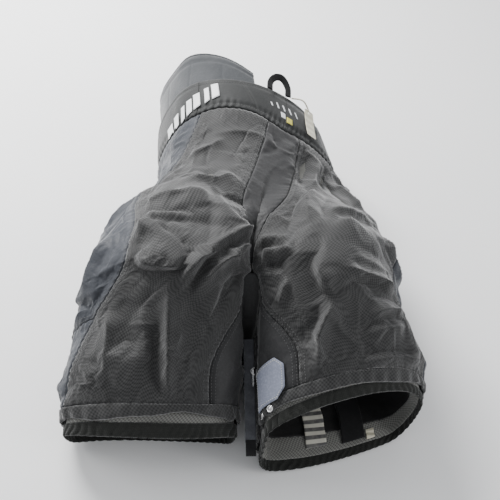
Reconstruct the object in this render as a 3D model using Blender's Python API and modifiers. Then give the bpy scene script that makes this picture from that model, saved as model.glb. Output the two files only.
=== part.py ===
"""Junior ice hockey pants lying on their back, hem towards -Y, waist towards +Y, front of the garment up.

Lengths are in metres. +X is the wearer's left. The padded shell is one smooth surface, given by
shell_point(side, v, c): v runs from the waist (0) over the crotch (1) to the hem (2), and c runs round
one half of the trunk and one leg, from the centre front (0) over the outer side (0.5) to the centre
back (1). Below the crotch c goes on from 0 to -1 over the inner side of the leg.
"""

import math

import bmesh
import bpy
import numpy as np
from mathutils import Vector

# Garment, lengthways
WAIST_Y = 0.233
CROTCH_Y = -0.097
HEM_Y = -0.230
CROTCH_DIP = 0.035
WAIST_TILT = 0.020
BAND_SEAM = {1: (0.212, 0.204, 0.202, 0.206, 0.210), -1: (0.212, 0.172, 0.170, 0.195, 0.210)}
KIDNEY_COLUMNS = (-0.88, -0.75, -0.60, -0.45, -0.20, 0.20, 0.45, 0.60)
KIDNEY_HEIGHTS = (0.026, 0.050, 0.064, 0.066, 0.088, 0.100, 0.078, 0.036)
KIDNEY_LEAN = 0.030

# Trunk sections at crotch, hip and waist
TRUNK_Y = (CROTCH_Y, 0.060, WAIST_Y)
TRUNK_HALF_WIDTH = {1: (0.180, 0.169, 0.118), -1: (0.176, 0.124, 0.119)}
TRUNK_CENTRE_Z = (0.095, 0.080, 0.070)
TRUNK_FRONT_RISE = (0.110, 0.084, 0.092)
TRUNK_TWIST = math.radians(27.0)
TWIST_CENTRE_Z = 0.085
TRUNK_SHIFT_X = 0.037

# Leg sections, from the crotch to the hem
LEG_SPLIT = math.radians(52)
LEG_HALF_WIDTH = (0.109, 0.108)
LEG_TOP_Z = 0.095
LEG_TOP_RISE = 0.110
HEM_CENTRE_Z = {1: 0.066, -1: 0.047}
HEM_SLANT = {1: (0.010, 0.030), -1: (-0.016, 0.008)}
OUTER_DROP = 0.015
LEG_GAP = 0.010
FLOOR_ROUND = 0.009

# Layers, as depths below the shell's outer face
SHELL_THICK = 0.0020
PAD_DEPTH = 0.0040
GUARD_THICK = 0.0020
FOAM_DEPTH = 0.0068
FOAM_THICK = 0.0070
LINER_THICK = 0.0009

# Leg zips: ends of the straight chain as (y, z)
ZIP_LINE = {1: ((-0.144, 0.108), (-0.254, 0.068)), -1: ((-0.142, 0.075), (-0.236, 0.040))}
SLOT_HALF = 0.0075
TAPE_WIDTH = 0.026
TAPE_THICK = 0.0009
COIL_WIDTH = 0.0058
COIL_HEIGHT = 0.0022
COIL_PITCH = 0.0030
SLIDER = (0.0120, 0.0092, 0.0048)
SLIDER_AT = {1: 0.47, -1: 0.30}
PULL = (0.0230, 0.0070, 0.0014)
BAIL_RADIUS = 0.0040
BAIL_RISE = 0.0046
BAIL_WIRE = 0.0006

# Closing tab on the left hem
TAB_V = (1.64, 1.94)
TAB_C = (-0.28, 0.025)
TAB_THICK = 0.0020

# Flap beside the left zip, and the webbing at its end
FLAP = (0.124, 0.0130, 0.0014)
FLAP_START = 0.010
STRAP = (0.016, 0.0120, 0.0016)

# Hang tag and cords
CARD = (0.019, 0.050, 0.0008)
LACE_DIAMETER = 0.0055
STRING_DIAMETER = 0.0014

SIDE_NAME = {1: "left", -1: "right"}
COLOURS = {
    "mesh_fabric": ((0.105, 0.105, 0.105, 1), 0.75, 0.0),
    "nylon_fabric": ((0.085, 0.088, 0.096, 1), 0.50, 0.0),
    "band_fabric": ((0.110, 0.112, 0.112, 1), 0.60, 0.0),
    "pad_cover": ((0.140, 0.148, 0.155, 1), 0.65, 0.0),
    "liner_fabric": ((0.200, 0.200, 0.185, 1), 0.80, 0.0),
    "elastic": ((0.040, 0.042, 0.040, 1), 0.85, 0.0),
    "foam": ((0.300, 0.300, 0.290, 1), 0.90, 0.0),
    "guard_plastic": ((0.600, 0.600, 0.580, 1), 0.45, 0.0),
    "zip_fabric": ((0.020, 0.020, 0.020, 1), 0.80, 0.0),
    "zip_metal": ((0.500, 0.500, 0.500, 1), 0.30, 1.0),
    "tab_fabric": ((0.270, 0.285, 0.340, 1), 0.55, 0.0),
    "label": ((0.650, 0.640, 0.560, 1), 0.60, 0.0),
    "card": ((0.640, 0.600, 0.500, 1), 0.70, 0.0),
    "lace": ((0.030, 0.030, 0.030, 1), 0.75, 0.0),
    "string": ((0.600, 0.560, 0.450, 1), 0.80, 0.0),
}


def start():
    for old in list(bpy.data.objects):
        bpy.data.objects.remove(old, do_unlink=True)
    collection = bpy.data.collections.new("hockey_pants")
    bpy.context.scene.collection.children.link(collection)
    return collection


def make_materials():
    made = {}
    for name, (colour, roughness, metallic) in COLOURS.items():
        material = bpy.data.materials.new(name)
        material.use_nodes = True
        shader = material.node_tree.nodes["Principled BSDF"]
        shader.inputs["Base Color"].default_value = colour
        shader.inputs["Roughness"].default_value = roughness
        shader.inputs["Metallic"].default_value = metallic
        material.diffuse_color = colour
        made[name] = material
    return made


COLLECTION = start()
MATERIALS = make_materials()


# The shell's surface


def ease(t):
    t = np.clip(t, 0, 1)
    return t * t * (3 - 2 * t)


def lerp(a, b, t):
    return a + (b - a) * t


def through(x, xs, ys):
    """A smooth curve through a few points, flat beyond both ends."""
    xs = np.asarray(xs, float)
    ys = np.asarray(ys, float)
    slopes = np.gradient(ys, xs)
    x = np.clip(x, xs[0], xs[-1])
    i = np.clip(np.searchsorted(xs, x) - 1, 0, len(xs) - 2)
    width = xs[i + 1] - xs[i]
    t = (x - xs[i]) / width
    start_part = (1 + 2 * t) * (1 - t) ** 2 * ys[i] + t * (1 - t) ** 2 * width * slopes[i]
    end_part = t * t * (3 - 2 * t) * ys[i + 1] + t * t * (t - 1) * width * slopes[i + 1]
    return start_part + end_part


def soft_max(a, b, k):
    """The larger of a and b, rounded over 2 k where they cross."""
    d = a - b
    k = np.maximum(k, 1e-6)
    return b + np.where(d > k, d, np.where(d < -k, 0, (d + k) ** 2 / (4 * k)))


def section(half_width, front_rise, centre_z, angle, sink):
    """A section that is round in front and flat behind, at an angle counted from the front.

    Its back runs down to `sink` below the floor, where shell_point flattens it.
    """
    c = np.cos(angle)
    back = -(centre_z + sink) * np.sin(np.pi / 2 * np.clip(-c, 0, 1))
    return half_width * np.sin(angle), centre_z + np.where(c > 0, front_rise * c, back)


def leg_section(side, t, phi):
    width = lerp(LEG_HALF_WIDTH[0], LEG_HALF_WIDTH[1], ease(t))
    hem_z = np.where(side > 0, HEM_CENTRE_Z[1], HEM_CENTRE_Z[-1])
    centre_z = lerp(LEG_TOP_Z, hem_z, t)
    rise = lerp(LEG_TOP_RISE, hem_z, t)
    hem_x = LEG_GAP + LEG_HALF_WIDTH[1] - 0.006
    centre_x = lerp(width * math.sin(LEG_SPLIT), hem_x, ease(1.3 * t))
    x, z = section(width, rise, centre_z, phi, 0.012)
    run = np.clip(t * (CROTCH_Y - HEM_Y), 0, LEG_GAP)
    wall = np.sqrt(np.maximum(LEG_GAP**2 - (LEG_GAP - run) ** 2, 0))
    return soft_max(centre_x + x, wall, 0.006 * ease(t / 0.15)), z


def trunk_section(side, y, c):
    left = through(y, TRUNK_Y, TRUNK_HALF_WIDTH[1])
    right = through(y, TRUNK_Y, TRUNK_HALF_WIDTH[-1])
    width = np.where(side > 0, left, right)
    rise = through(y, TRUNK_Y, TRUNK_FRONT_RISE)
    centre_z = through(y, TRUNK_Y, TRUNK_CENTRE_Z)
    return section(width, rise, centre_z, np.pi * c, 0.038)


def shell_point(side, v, c):
    """Points on the shell's outer face, for arrays of side (1 is left), v and c."""
    side, v, c = np.broadcast_arrays(*(np.asarray(a, float) for a in (side, v, c)))
    over = (v < 1) & ((c < 0) | (c > 1))
    side = np.where(over, -side, side)
    v = np.where(over, 2 - v, v)
    c = np.where(c > 1, c - 2, np.where(c < -1, c + 2, c))
    inner = c < 0
    phi = -LEG_SPLIT + np.where(inner, (np.pi - 2 * LEG_SPLIT) * c, (np.pi + 2 * LEG_SPLIT) * c)
    t = np.clip(v - 1, 0, 2)
    trunk_y = lerp(WAIST_Y, CROTCH_Y, v)
    xt, zt = trunk_section(side, trunk_y, np.clip(c, 0, 1))
    xl, zl = leg_section(side, t, phi)
    q = ease((v - 0.35) / 0.65)
    x = side * lerp(xt, xl, q)
    z = lerp(zt, zl, q)
    y = np.where(v <= 1, trunk_y, lerp(CROTCH_Y, HEM_Y, t))
    y = y - np.where(inner, CROTCH_DIP * np.clip(1 - t, 0, 1) ** 2 * np.sin(np.pi * -c), 0)
    along = np.where(side > 0, HEM_SLANT[1][0], HEM_SLANT[-1][0])
    across = np.where(side > 0, HEM_SLANT[1][1], HEM_SLANT[-1][1])
    y = y + t * (along * np.cos(phi) + across * np.sin(phi))
    y = y - OUTER_DROP * ease((v - 0.5) / 1.5) * x * x / (x * x + 0.0036)
    y = y - WAIST_TILT * ease(1 - v) * (1 + side * np.sin(np.pi * np.clip(c, 0, 1)))
    turn = TRUNK_TWIST * ease(1 - v)
    dz = z - TWIST_CENTRE_Z
    x_turned = x * np.cos(turn) + dz * np.sin(turn) + TRUNK_SHIFT_X * ease(1 - v)
    z_turned = TWIST_CENTRE_Z + dz * np.cos(turn) - x * np.sin(turn)
    return np.stack([x_turned, y, soft_max(z_turned, 0.0, FLOOR_ROUND)], -1)


def band_seam(side, c):
    """The row where the waistband meets the shell."""
    columns = (0.0, 0.13, 0.24, 0.38, 1.0)
    return np.where(np.asarray(side) > 0, through(c, columns, BAND_SEAM[1]), through(c, columns, BAND_SEAM[-1]))


def layer_point(side, v, c, depth):
    """Points below the shell's outer face (above it where depth is negative), and the normals there."""
    step = 2e-3
    crossing = (v > 0.98) & ((c <= 0) | (c >= 1))
    low = np.where(v < 1, np.maximum(c - step, 0), c - step)
    high = np.where(v < 1, np.minimum(c + step, 1), c + step)
    low = np.where(crossing & (v < 1), c - step, low)
    high = np.where(crossing & (v < 1), c + step, high)
    along = shell_point(side, v + step, c) - shell_point(side, v - step, c)
    around = shell_point(side, v, high) - shell_point(side, v, low)
    normal = np.cross(along, around) * np.asarray(side, float)[..., None]
    normal /= np.linalg.norm(normal, axis=-1, keepdims=True)
    return shell_point(side, v, c) - np.asarray(depth)[..., None] * normal, normal


def slot_column(side, v, offset):
    """The column c where the inner leg wall lies `offset` above the zip's chain line."""
    (y0, z0), (y1, z1) = ZIP_LINE[side]
    length = math.hypot(y1 - y0, z1 - z0)
    low = np.full(np.shape(v), -0.98)
    high = np.full(np.shape(v), -0.02)
    for _ in range(40):
        middle = (low + high) / 2
        point = shell_point(side, v, middle)
        above = (-(point[..., 1] - y0) * (z1 - z0) + (point[..., 2] - z0) * (y1 - y0)) / -length
        too_low = above < offset
        low = np.where(too_low, middle, low)
        high = np.where(too_low, high, middle)
    return (low + high) / 2


# Builders


def face_out(bm):
    """Turns a closed body's faces outwards."""
    bmesh.ops.recalc_face_normals(bm, faces=bm.faces)
    if bm.calc_volume(signed=True) < 0:
        bmesh.ops.reverse_faces(bm, faces=bm.faces)


def finish(name, bm, material, smooth=True):
    mesh = bpy.data.meshes.new(name)
    for face in bm.faces:
        face.smooth = smooth
    bm.to_mesh(mesh)
    bm.free()
    obj = bpy.data.objects.new(name, mesh)
    obj.data.materials.append(MATERIALS[material])
    COLLECTION.objects.link(obj)
    return obj


def patch(name, material, columns, rows, place, thick, closed=False):
    """A sheet over the shell. place(u, w) gives arrays (side, v, c, depth) for u and w from 0 to 1."""
    bm = bmesh.new()
    bmesh.ops.create_grid(bm, x_segments=columns, y_segments=rows, size=0.5)
    bm.verts.ensure_lookup_table()
    flat = np.array([vert.co[:2] for vert in bm.verts]) + 0.5
    side, v, c, depth = (np.broadcast_to(a, flat.shape[:1]) for a in place(flat[:, 0], flat[:, 1]))
    points, normals = layer_point(side, v, c, depth)
    for vert, point in zip(bm.verts, points):
        vert.co = point
    if closed:
        bmesh.ops.remove_doubles(bm, verts=bm.verts, dist=2e-5)
    bm.normal_update()
    bm.faces.ensure_lookup_table()
    middle = bm.faces[len(bm.faces) // 2]
    nearest = int(np.argmin(np.linalg.norm(points - np.array(middle.calc_center_median()), axis=1)))
    if float(np.dot(np.array(middle.normal), normals[nearest])) < 0:
        bmesh.ops.reverse_faces(bm, faces=bm.faces)
    obj = finish(name, bm, material)
    solid = obj.modifiers.new("thickness", "SOLIDIFY")
    solid.thickness = thick
    solid.offset = -1
    return obj


def panel(name, material, side, v_range, c_range, columns, rows, depth=0.0, thick=SHELL_THICK):
    """A sheet between two rows and two columns. A row may depend on the column, and a column on the row."""

    def place(u, w):
        c = u * 0 + 0.3
        for _ in range(4):
            v0, v1 = (f(side, c) if callable(f) else f for f in v_range)
            v = lerp(v0, v1, w)
            c0, c1 = (f(v) if callable(f) else f for f in c_range)
            c = lerp(c0, c1, u)
        return side, v, c, depth

    return patch(name, material, columns, rows, place, thick)


def centre_panel(name, material, v_range, reach, columns, rows, back=False, depth=0.0, thick=SHELL_THICK):
    """A sheet across the centre front or back. Its reach to each side may depend on the row."""

    def place(u, w):
        v = 0.5
        for _ in range(4):
            across = lerp(-1, 1, u) * (reach(v) if callable(reach) else reach)
            side = np.where(across < 0, -1, 1)
            c = 1 - np.abs(across) if back else np.abs(across)
            v0, v1 = (f(side, c) if callable(f) else f for f in v_range)
            v = lerp(v0, v1, w)
        return side, v, c, depth

    return patch(name, material, columns, rows, place, thick)


def block(name, material, size, frame, bevel=0.0):
    """A box of this size centred on a frame (origin, x axis, y axis, z axis)."""
    origin, *axes = (np.asarray(a, float) for a in frame)
    bm = bmesh.new()
    bmesh.ops.create_cube(bm, size=1.0)
    for vert in bm.verts:
        moved = origin + sum(axis * length * part for axis, length, part in zip(axes, size, vert.co))
        vert.co = moved
    face_out(bm)
    obj = finish(name, bm, material, smooth=False)
    if bevel:
        rounding = obj.modifiers.new("rounded", "BEVEL")
        rounding.width = bevel
        rounding.segments = 2
        rounding.harden_normals = False
    return obj


def tube(name, material, points, diameter, closed=False, resolution=2):
    curve = bpy.data.curves.new(name, "CURVE")
    curve.dimensions = "3D"
    curve.bevel_depth = diameter / 2
    curve.bevel_resolution = resolution
    curve.use_fill_caps = True
    spline = curve.splines.new("POLY")
    spline.points.add(len(points) - 1)
    for target, point in zip(spline.points, points):
        target.co = (*point, 1)
    spline.use_cyclic_u = closed
    obj = bpy.data.objects.new(name, curve)
    obj.data.materials.append(MATERIALS[material])
    COLLECTION.objects.link(obj)
    return obj


def smooth_line(points, count):
    """A smooth curve through a few points, at even steps."""
    points = np.asarray(points, float)
    steps = np.concatenate([[0], np.cumsum(np.linalg.norm(np.diff(points, axis=0), axis=1))])
    fine = np.linspace(0, steps[-1], 400)
    dense = np.stack([through(fine, steps, points[:, k]) for k in range(3)], -1)
    run = np.concatenate([[0], np.cumsum(np.linalg.norm(np.diff(dense, axis=0), axis=1))])
    even = np.linspace(0, run[-1], count)
    return np.stack([np.interp(even, run, dense[:, k]) for k in range(3)], -1)


# Waistband and the padded back that stands above it


def kidney_rise(across):
    """How far the padded back stands above the band, from its right end (negative) to its left end."""
    return through(across, KIDNEY_COLUMNS, KIDNEY_HEIGHTS)


def kidney_place(u, w):
    """The pad stands up on the right, and its left wing leans into the opening."""
    across = lerp(KIDNEY_COLUMNS[0], KIDNEY_COLUMNS[-1], u)
    top = -kidney_rise(across) / (WAIST_Y - CROTCH_Y)
    side = np.where(across < 0, -1, 1)
    c = 1 - np.abs(across)
    v = lerp(top, band_seam(side, c) + 0.02, w)
    lean = KIDNEY_LEAN * ease((across - 0.10) / 0.40) * ease(-v / 0.20)
    return side, v, c, PAD_DEPTH + 0.001 + lean


for side, label in SIDE_NAME.items():
    panel(f"waistband_front_{label}", "band_fabric", side, (0.0, band_seam), (0.007, 0.352), 9, 4)
centre_panel("waistband_back", "band_fabric", (0.0, band_seam), 0.640, 26, 4, back=True)
patch("kidney_pad", "pad_cover", 32, 8, kidney_place, 0.008)
centre_panel("fly_tongue", "nylon_fabric", (0.012, 0.40), 0.060, 4, 6, depth=PAD_DEPTH, thick=0.0016)

# Outer shell of trunk and legs
HEM_V = 1.900
CROSS_V = 1.300
BACK_C = (0.646, 0.838)


def shell_top(side, c):
    return band_seam(side, c) + 0.004


def side_seam(side, v):
    """The seam between the mesh front and the nylon side: it swings forward under the right hip."""
    right = through(v, (0.20, 0.60, 0.85, 1.05, 1.35, 1.90), (0.340, 0.400, 0.305, 0.320, 0.390, 0.440))
    left = through(v, (0.20, 1.00, 1.90), (0.400, 0.405, 0.440))
    return np.where(side > 0, left, right)


def inner_seam(v):
    """The front seam: beside the gusset, in to the crotch, then forward again down the leg."""
    trunk = lerp(0.062, 0.004, ease((v - 0.62) / 0.36))
    leg = lerp(-0.002, 0.062, ease((v - 1.10) / 0.60))
    return np.where(v < 1, trunk, leg)


def gusset_reach(v):
    return np.maximum(inner_seam(v) - 0.005, 0.0012)


centre_panel("front_gusset", "nylon_fabric", (shell_top, 0.955), gusset_reach, 4, 14)
centre_panel("seat_panel", "nylon_fabric", (shell_top, 0.985), 0.156, 9, 12, back=True)
patch(
    "crotch_gusset",
    "nylon_fabric",
    16,
    10,
    lambda u, w: (1, 1 + 0.135 * (2 * u - 1), -0.010 - 0.980 * w, 0.0),
    SHELL_THICK,
)


def leg_inner_seam(v):
    return inner_seam(v) - 0.018


for side, label in SIDE_NAME.items():
    outer = lambda v, side=side: side_seam(side, v) - 0.003
    flank = lambda v, side=side: side_seam(side, v) + 0.003
    above = lambda v, side=side: slot_column(side, v, SLOT_HALF)
    below = lambda v, side=side: slot_column(side, v, -SLOT_HALF)
    rear = lambda v, side=side: 2 + slot_column(side, v, -SLOT_HALF)
    leg_rows = (1.145, HEM_V)
    hem_rows = (HEM_V + 0.008, 2.0)
    panel(f"front_thigh_{label}", "mesh_fabric", side, (shell_top, HEM_V), (inner_seam, outer), 9, 22)
    panel(f"hip_panel_{label}", "nylon_fabric", side, (shell_top, CROSS_V), (flank, 0.640), 7, 14)
    panel(f"outer_thigh_{label}", "nylon_fabric", side, (CROSS_V + 0.008, HEM_V), (flank, 0.640), 6, 6)
    panel(f"rear_hip_{label}", "mesh_fabric", side, (shell_top, 0.985), BACK_C, 6, 12)
    panel(f"rear_leg_{label}", "mesh_fabric", side, (0.993, HEM_V), (0.646, 0.990), 9, 9)
    panel(f"inner_front_{label}", "nylon_fabric", side, leg_rows, (above, leg_inner_seam), 7, 8)
    panel(f"inner_rear_{label}", "nylon_fabric", side, leg_rows, (-0.990, below), 6, 8)
    panel(f"hem_front_{label}", "mesh_fabric", side, hem_rows, (above, 0.497), 16, 1)
    panel(f"hem_rear_{label}", "mesh_fabric", side, hem_rows, (0.503, rear), 16, 1)

# Protection inside the shell, and the lining
def pad_top(side, c):
    return np.maximum(band_seam(side, c) + 0.035, 0.27)


THIGH_LAYERS = (
    ("thigh_guard", "guard_plastic", PAD_DEPTH, GUARD_THICK),
    ("thigh_foam", "foam", FOAM_DEPTH, FOAM_THICK),
)
for side, label in SIDE_NAME.items():
    for kind, material, depth, thick in THIGH_LAYERS:
        panel(f"{kind}_{label}", material, side, (0.80, 1.84), (0.10, 0.45), 8, 9, depth=depth, thick=thick)
    panel(f"hip_pad_{label}", "foam", side, (pad_top, 0.76), (0.36, 0.62), 6, 6, depth=PAD_DEPTH, thick=0.008)

centre_panel("tailbone_pad", "foam", (0.45, 0.90), 0.10, 6, 6, back=True, depth=PAD_DEPTH, thick=0.008)


def lining_depth(c):
    """The lining lies under the foam in front and outside, and close to the shell elsewhere."""
    return lerp(0.0042, 0.0165, ease((c + 0.02) / 0.10) * ease((0.56 - c) / 0.08))


def lining_place(side):
    def place(u, w):
        c = 2 * u - 1
        depth = lerp(lining_depth(c), 0.0042, ease((w - 0.75) / 0.25))
        return side, 1.17 + 0.85 * w, c, depth

    return place


def elastic_place(side):
    return lambda u, w: (side, 2.036 + 0.085 * w, 2 * u - 1, 0.0038)


for side, label in SIDE_NAME.items():
    patch(f"leg_lining_{label}", "liner_fabric", 30, 9, lining_place(side), LINER_THICK, closed=True)
    patch(f"elastic_hem_{label}", "elastic", 34, 2, elastic_place(side), 0.0018, closed=True)


# Leg zips


def zip_frame(side, along):
    """Origin and axes of a leg zip: down the chain, across it and out of the leg, at this part of its length."""
    (y0, z0), (y1, z1) = ZIP_LINE[side]
    down = np.array([0.0, y1 - y0, z1 - z0])
    length = float(np.linalg.norm(down))
    down /= length
    out = np.array([-side, 0.0, 0.0])
    across = np.cross(out, down)
    origin = np.array([side * LEG_GAP, y0, z0]) + down * length * along
    return origin, down, across, out, length


def zip_part(name, material, side, along, size, height, bevel=0.0, shift=0.0):
    """A block on the zip: size is (down the chain, across it, out of the leg), height is out from the shell."""
    origin, down, across, out, _ = zip_frame(side, along)
    return block(name, material, size, (origin + out * height + across * shift, down, across, out), bevel)


def coil(name, side):
    """The closed chain: a bar whose outer face rises and falls once per tooth."""
    origin, down, across, out, length = zip_frame(side, 0)
    run = length - 0.008
    teeth = int(run / COIL_PITCH)
    bm = bmesh.new()
    bmesh.ops.create_grid(bm, x_segments=2 * teeth, y_segments=2, size=0.5)
    base = -(SHELL_THICK + 0.0004)
    for vert in bm.verts:
        step = round((vert.co.x + 0.5) * 2 * teeth)
        edge = abs(round(vert.co.y * 2))
        rise = base + COIL_HEIGHT * (1.0 if step % 2 else 0.72) * (0.55 if edge else 1.0)
        along = 0.004 + run * (vert.co.x + 0.5)
        vert.co = origin + down * along + across * COIL_WIDTH * vert.co.y + out * rise
    bottom = bmesh.ops.extrude_face_region(bm, geom=bm.faces[:])
    for vert in (part for part in bottom["geom"] if isinstance(part, bmesh.types.BMVert)):
        level = np.dot(np.array(vert.co) - origin, out)
        vert.co = np.array(vert.co) + out * (base - level)
    face_out(bm)
    return finish(name, bm, "zip_fabric", smooth=False)


def slider_body(name, side):
    """A channel that rides over the chain, clear of it by 0.3 mm."""
    origin, down, across, out, _ = zip_frame(side, SLIDER_AT[side])
    length, width, height = SLIDER
    wall = (width - COIL_WIDTH - 0.0006) / 2
    inside = width / 2 - wall
    base = -(SHELL_THICK + 0.0004) + 0.0003
    roof = base + COIL_HEIGHT + 0.0001
    top = base + height - 0.0006
    profile = ((-width / 2, base), (-width / 2, top), (width / 2, top), (width / 2, base))
    profile += ((inside, base), (inside, roof), (-inside, roof), (-inside, base))
    bm = bmesh.new()
    ends = [bm.verts.new(origin - down * length / 2 + across * a + out * h) for a, h in profile]
    face = bm.faces.new(ends)
    far = bmesh.ops.extrude_face_region(bm, geom=[face])
    for vert in (part for part in far["geom"] if isinstance(part, bmesh.types.BMVert)):
        vert.co += Vector(down * length)
    face_out(bm)
    obj = finish(name, bm, "zip_metal", smooth=False)
    rounding = obj.modifiers.new("rounded", "BEVEL")
    rounding.width = 0.0004
    rounding.segments = 1
    return top


def bail_and_pull(side, label, top):
    """A wire arch on the slider, and the pull that hangs on it with its origin on the arch's axis."""
    origin, down, across, out, _ = zip_frame(side, SLIDER_AT[side])
    foot = origin + out * (top + 0.0003 + BAIL_WIRE)
    turns = np.linspace(0, math.pi, 11)
    hub = foot - down * BAIL_RADIUS
    arch = [hub + down * BAIL_RADIUS * math.cos(a) + out * BAIL_RISE * math.sin(a) for a in turns]
    tube(f"zip_bail_{label}", "zip_metal", arch, 2 * BAIL_WIRE)
    length, width, thick = PULL
    axis_point = foot - down * 0.0014 + out * 0.0022
    centre = axis_point + down * length * 0.19 + out * 0.0004
    bm = bmesh.new()
    bmesh.ops.create_grid(bm, x_segments=5, y_segments=3, size=0.5)
    middles = {face: face.calc_center_median() for face in bm.faces}
    hole = [face for face, middle in middles.items() if abs(middle.y) < 0.1 and -0.4 < middle.x < -0.1]
    bmesh.ops.delete(bm, geom=hole, context="FACES")
    for vert in bm.verts:
        taper = 1.0 - 0.25 * abs(vert.co.x + 0.1)
        head = max(vert.co.x, -0.372)
        vert.co = down * length * head + across * width * vert.co.y * taper
    for vert in bm.verts:
        vert.co += Vector(centre - axis_point)
    bm.normal_update()
    pull = finish(f"zip_pull_{label}", bm, "zip_metal", smooth=False)
    pull.location = axis_point
    solid = pull.modifiers.new("thickness", "SOLIDIFY")
    solid.thickness = thick
    solid.offset = 0
    return axis_point


for side, label in SIDE_NAME.items():
    tape_height = -(SHELL_THICK + 0.0008 + TAPE_THICK / 2)
    tape_length = zip_frame(side, 0)[4] + 0.006
    zip_part(f"zip_tape_{label}", "zip_fabric", side, 0.5, (tape_length, TAPE_WIDTH, TAPE_THICK), tape_height)
    coil(f"zip_chain_{label}", side)
    slider_top = slider_body(f"zip_slider_{label}", side)
    bail_and_pull(side, label, slider_top)


# Closing tab, snaps, straps and labels


def surface_frame(side, v, c, depth):
    """A frame on the shell: origin, across (towards the outer side), along (towards the hem) and out."""
    point, normal = layer_point(*(np.array([float(a)]) for a in (side, v, c, depth)))
    ahead = shell_point(side, v + 0.004, c) - shell_point(side, v - 0.004, c)
    out = normal[0]
    along = ahead - out * float(np.dot(ahead, out))
    along /= np.linalg.norm(along)
    across = np.cross(along, out)
    return point[0], across, along, out


def tab_corner(u, w):
    """The tab's free end has clipped corners."""
    return (TAB_C[1] - TAB_C[0]) * 0.16 * np.clip(np.abs(2 * w - 1) - 0.55, 0, 1) * ease(4 * u - 3)


tab = patch(
    "hem_tab_left",
    "tab_fabric",
    8,
    6,
    lambda u, w: (1, lerp(*TAB_V, w), lerp(*TAB_C, u) - tab_corner(u, w), -0.0042),
    TAB_THICK,
)
hinge_ends, _ = layer_point(np.ones(2), np.array(TAB_V), np.full(2, TAB_C[0]), np.full(2, -0.0032))
tab_hinge = Vector(hinge_ends.mean(axis=0))
for vert in tab.data.vertices:
    vert.co -= tab_hinge
tab.location = tab_hinge

panel("tab_landing_left", "zip_fabric", 1, (1.69, 1.90), (-0.14, -0.005), 5, 5, depth=-0.0014, thick=0.0010)
for number, column in enumerate((-0.24, -0.09), start=1):
    origin, across, along, out = surface_frame(1, 1.974, column, -0.0012)
    bm = bmesh.new()
    bmesh.ops.create_cone(bm, cap_ends=True, segments=16, radius1=0.0042, radius2=0.0035, depth=0.0016)
    for vert in bm.verts:
        vert.co = origin + across * vert.co.x + along * vert.co.y + out * vert.co.z
    face_out(bm)
    finish(f"hem_snap_left_{number}", bm, "zip_metal", smooth=False)

# Inside the left leg: a label, a strap and a small care label on the rear of the lining
panel("leg_label_left", "label", 1, (1.62, 1.97), (0.80, 0.90), 4, 5, depth=0.0058, thick=0.0005)
panel("leg_strap_left", "zip_fabric", 1, (1.45, 1.99), (0.70, 0.78), 4, 7, depth=0.0058, thick=0.0012)
panel("care_label_left", "label", 1, (1.90, 2.00), (0.640, 0.675), 3, 3, depth=0.0085, thick=0.0004)

# A nylon flap stands out beside the left zip and ends in a webbing pull below the hem
zip_origin, zip_down, zip_across, zip_out, zip_length = zip_frame(1, 0)
flap_axes = (zip_down, zip_out, zip_across)
flap_base = zip_origin - zip_across * 0.0105 + zip_out * (0.0016 + FLAP[1] / 2)
flap_centre = flap_base + zip_down * (FLAP_START + FLAP[0] / 2)
block("zip_flap_left", "nylon_fabric", FLAP, (flap_centre, *flap_axes))
strap_centre = flap_base + zip_down * (FLAP_START + FLAP[0] + 0.0004 + STRAP[0] / 2)
block("hem_strap_left", "zip_fabric", STRAP, (strap_centre, *flap_axes))

# Waist lace, hang tag and its string
front_top, front_across, front_along, front_out = surface_frame(1, 0.004, 0.010, 0.0)


def by_front(across, along, out):
    """A point near the centre front of the waistband's upper edge."""
    return front_top - front_across * across + front_along * along + front_out * out


lace_via = (
    by_front(-0.033, 0.004, 0.0038),
    by_front(-0.032, -0.008, 0.0060),
    by_front(-0.024, -0.019, 0.0090),
    by_front(-0.013, -0.021, 0.0100),
    by_front(-0.003, -0.011, 0.0075),
    by_front(-0.001, 0.003, 0.0038),
)
tube("waist_lace", "lace", smooth_line(lace_via, 16), LACE_DIAMETER, resolution=3)

card_frame = surface_frame(1, 0.105, 0.120, -0.0026)
block("hang_tag", "card", CARD, card_frame)
string_end = card_frame[0] - card_frame[2] * (CARD[1] / 2 + 0.0012) + card_frame[3] * 0.0012
string_start = by_front(0.007, 0.0, 0.0022)
string_middle = (string_start + string_end) / 2 + front_out * 0.006 - front_along * 0.004
tube("tag_string", "string", smooth_line((string_start, string_middle, string_end), 14), STRING_DIAMETER)
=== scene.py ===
"""Looks of a pair of junior ice hockey pants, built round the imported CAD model.

The garment lies on its back: +X is the wearer's left, +Y runs from the hems to the waist and +Z is up, out
of its front. Every fabric panel is read from one smooth surface, shell_point(side, v, c), which is the CAD
shell's own formula: v runs from the waist (0) over the crotch (1) to the hem (2), and c runs round one half of
the trunk and one leg, from the centre front (0) over the outer side (0.5) to the centre back (1). On the inner
side of a leg c goes on from 0 to -1. Folds are strokes along lines on that surface, in metres.
"""

import math

import bmesh
import bpy
import numpy as np
from mathutils import Matrix, Vector


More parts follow.
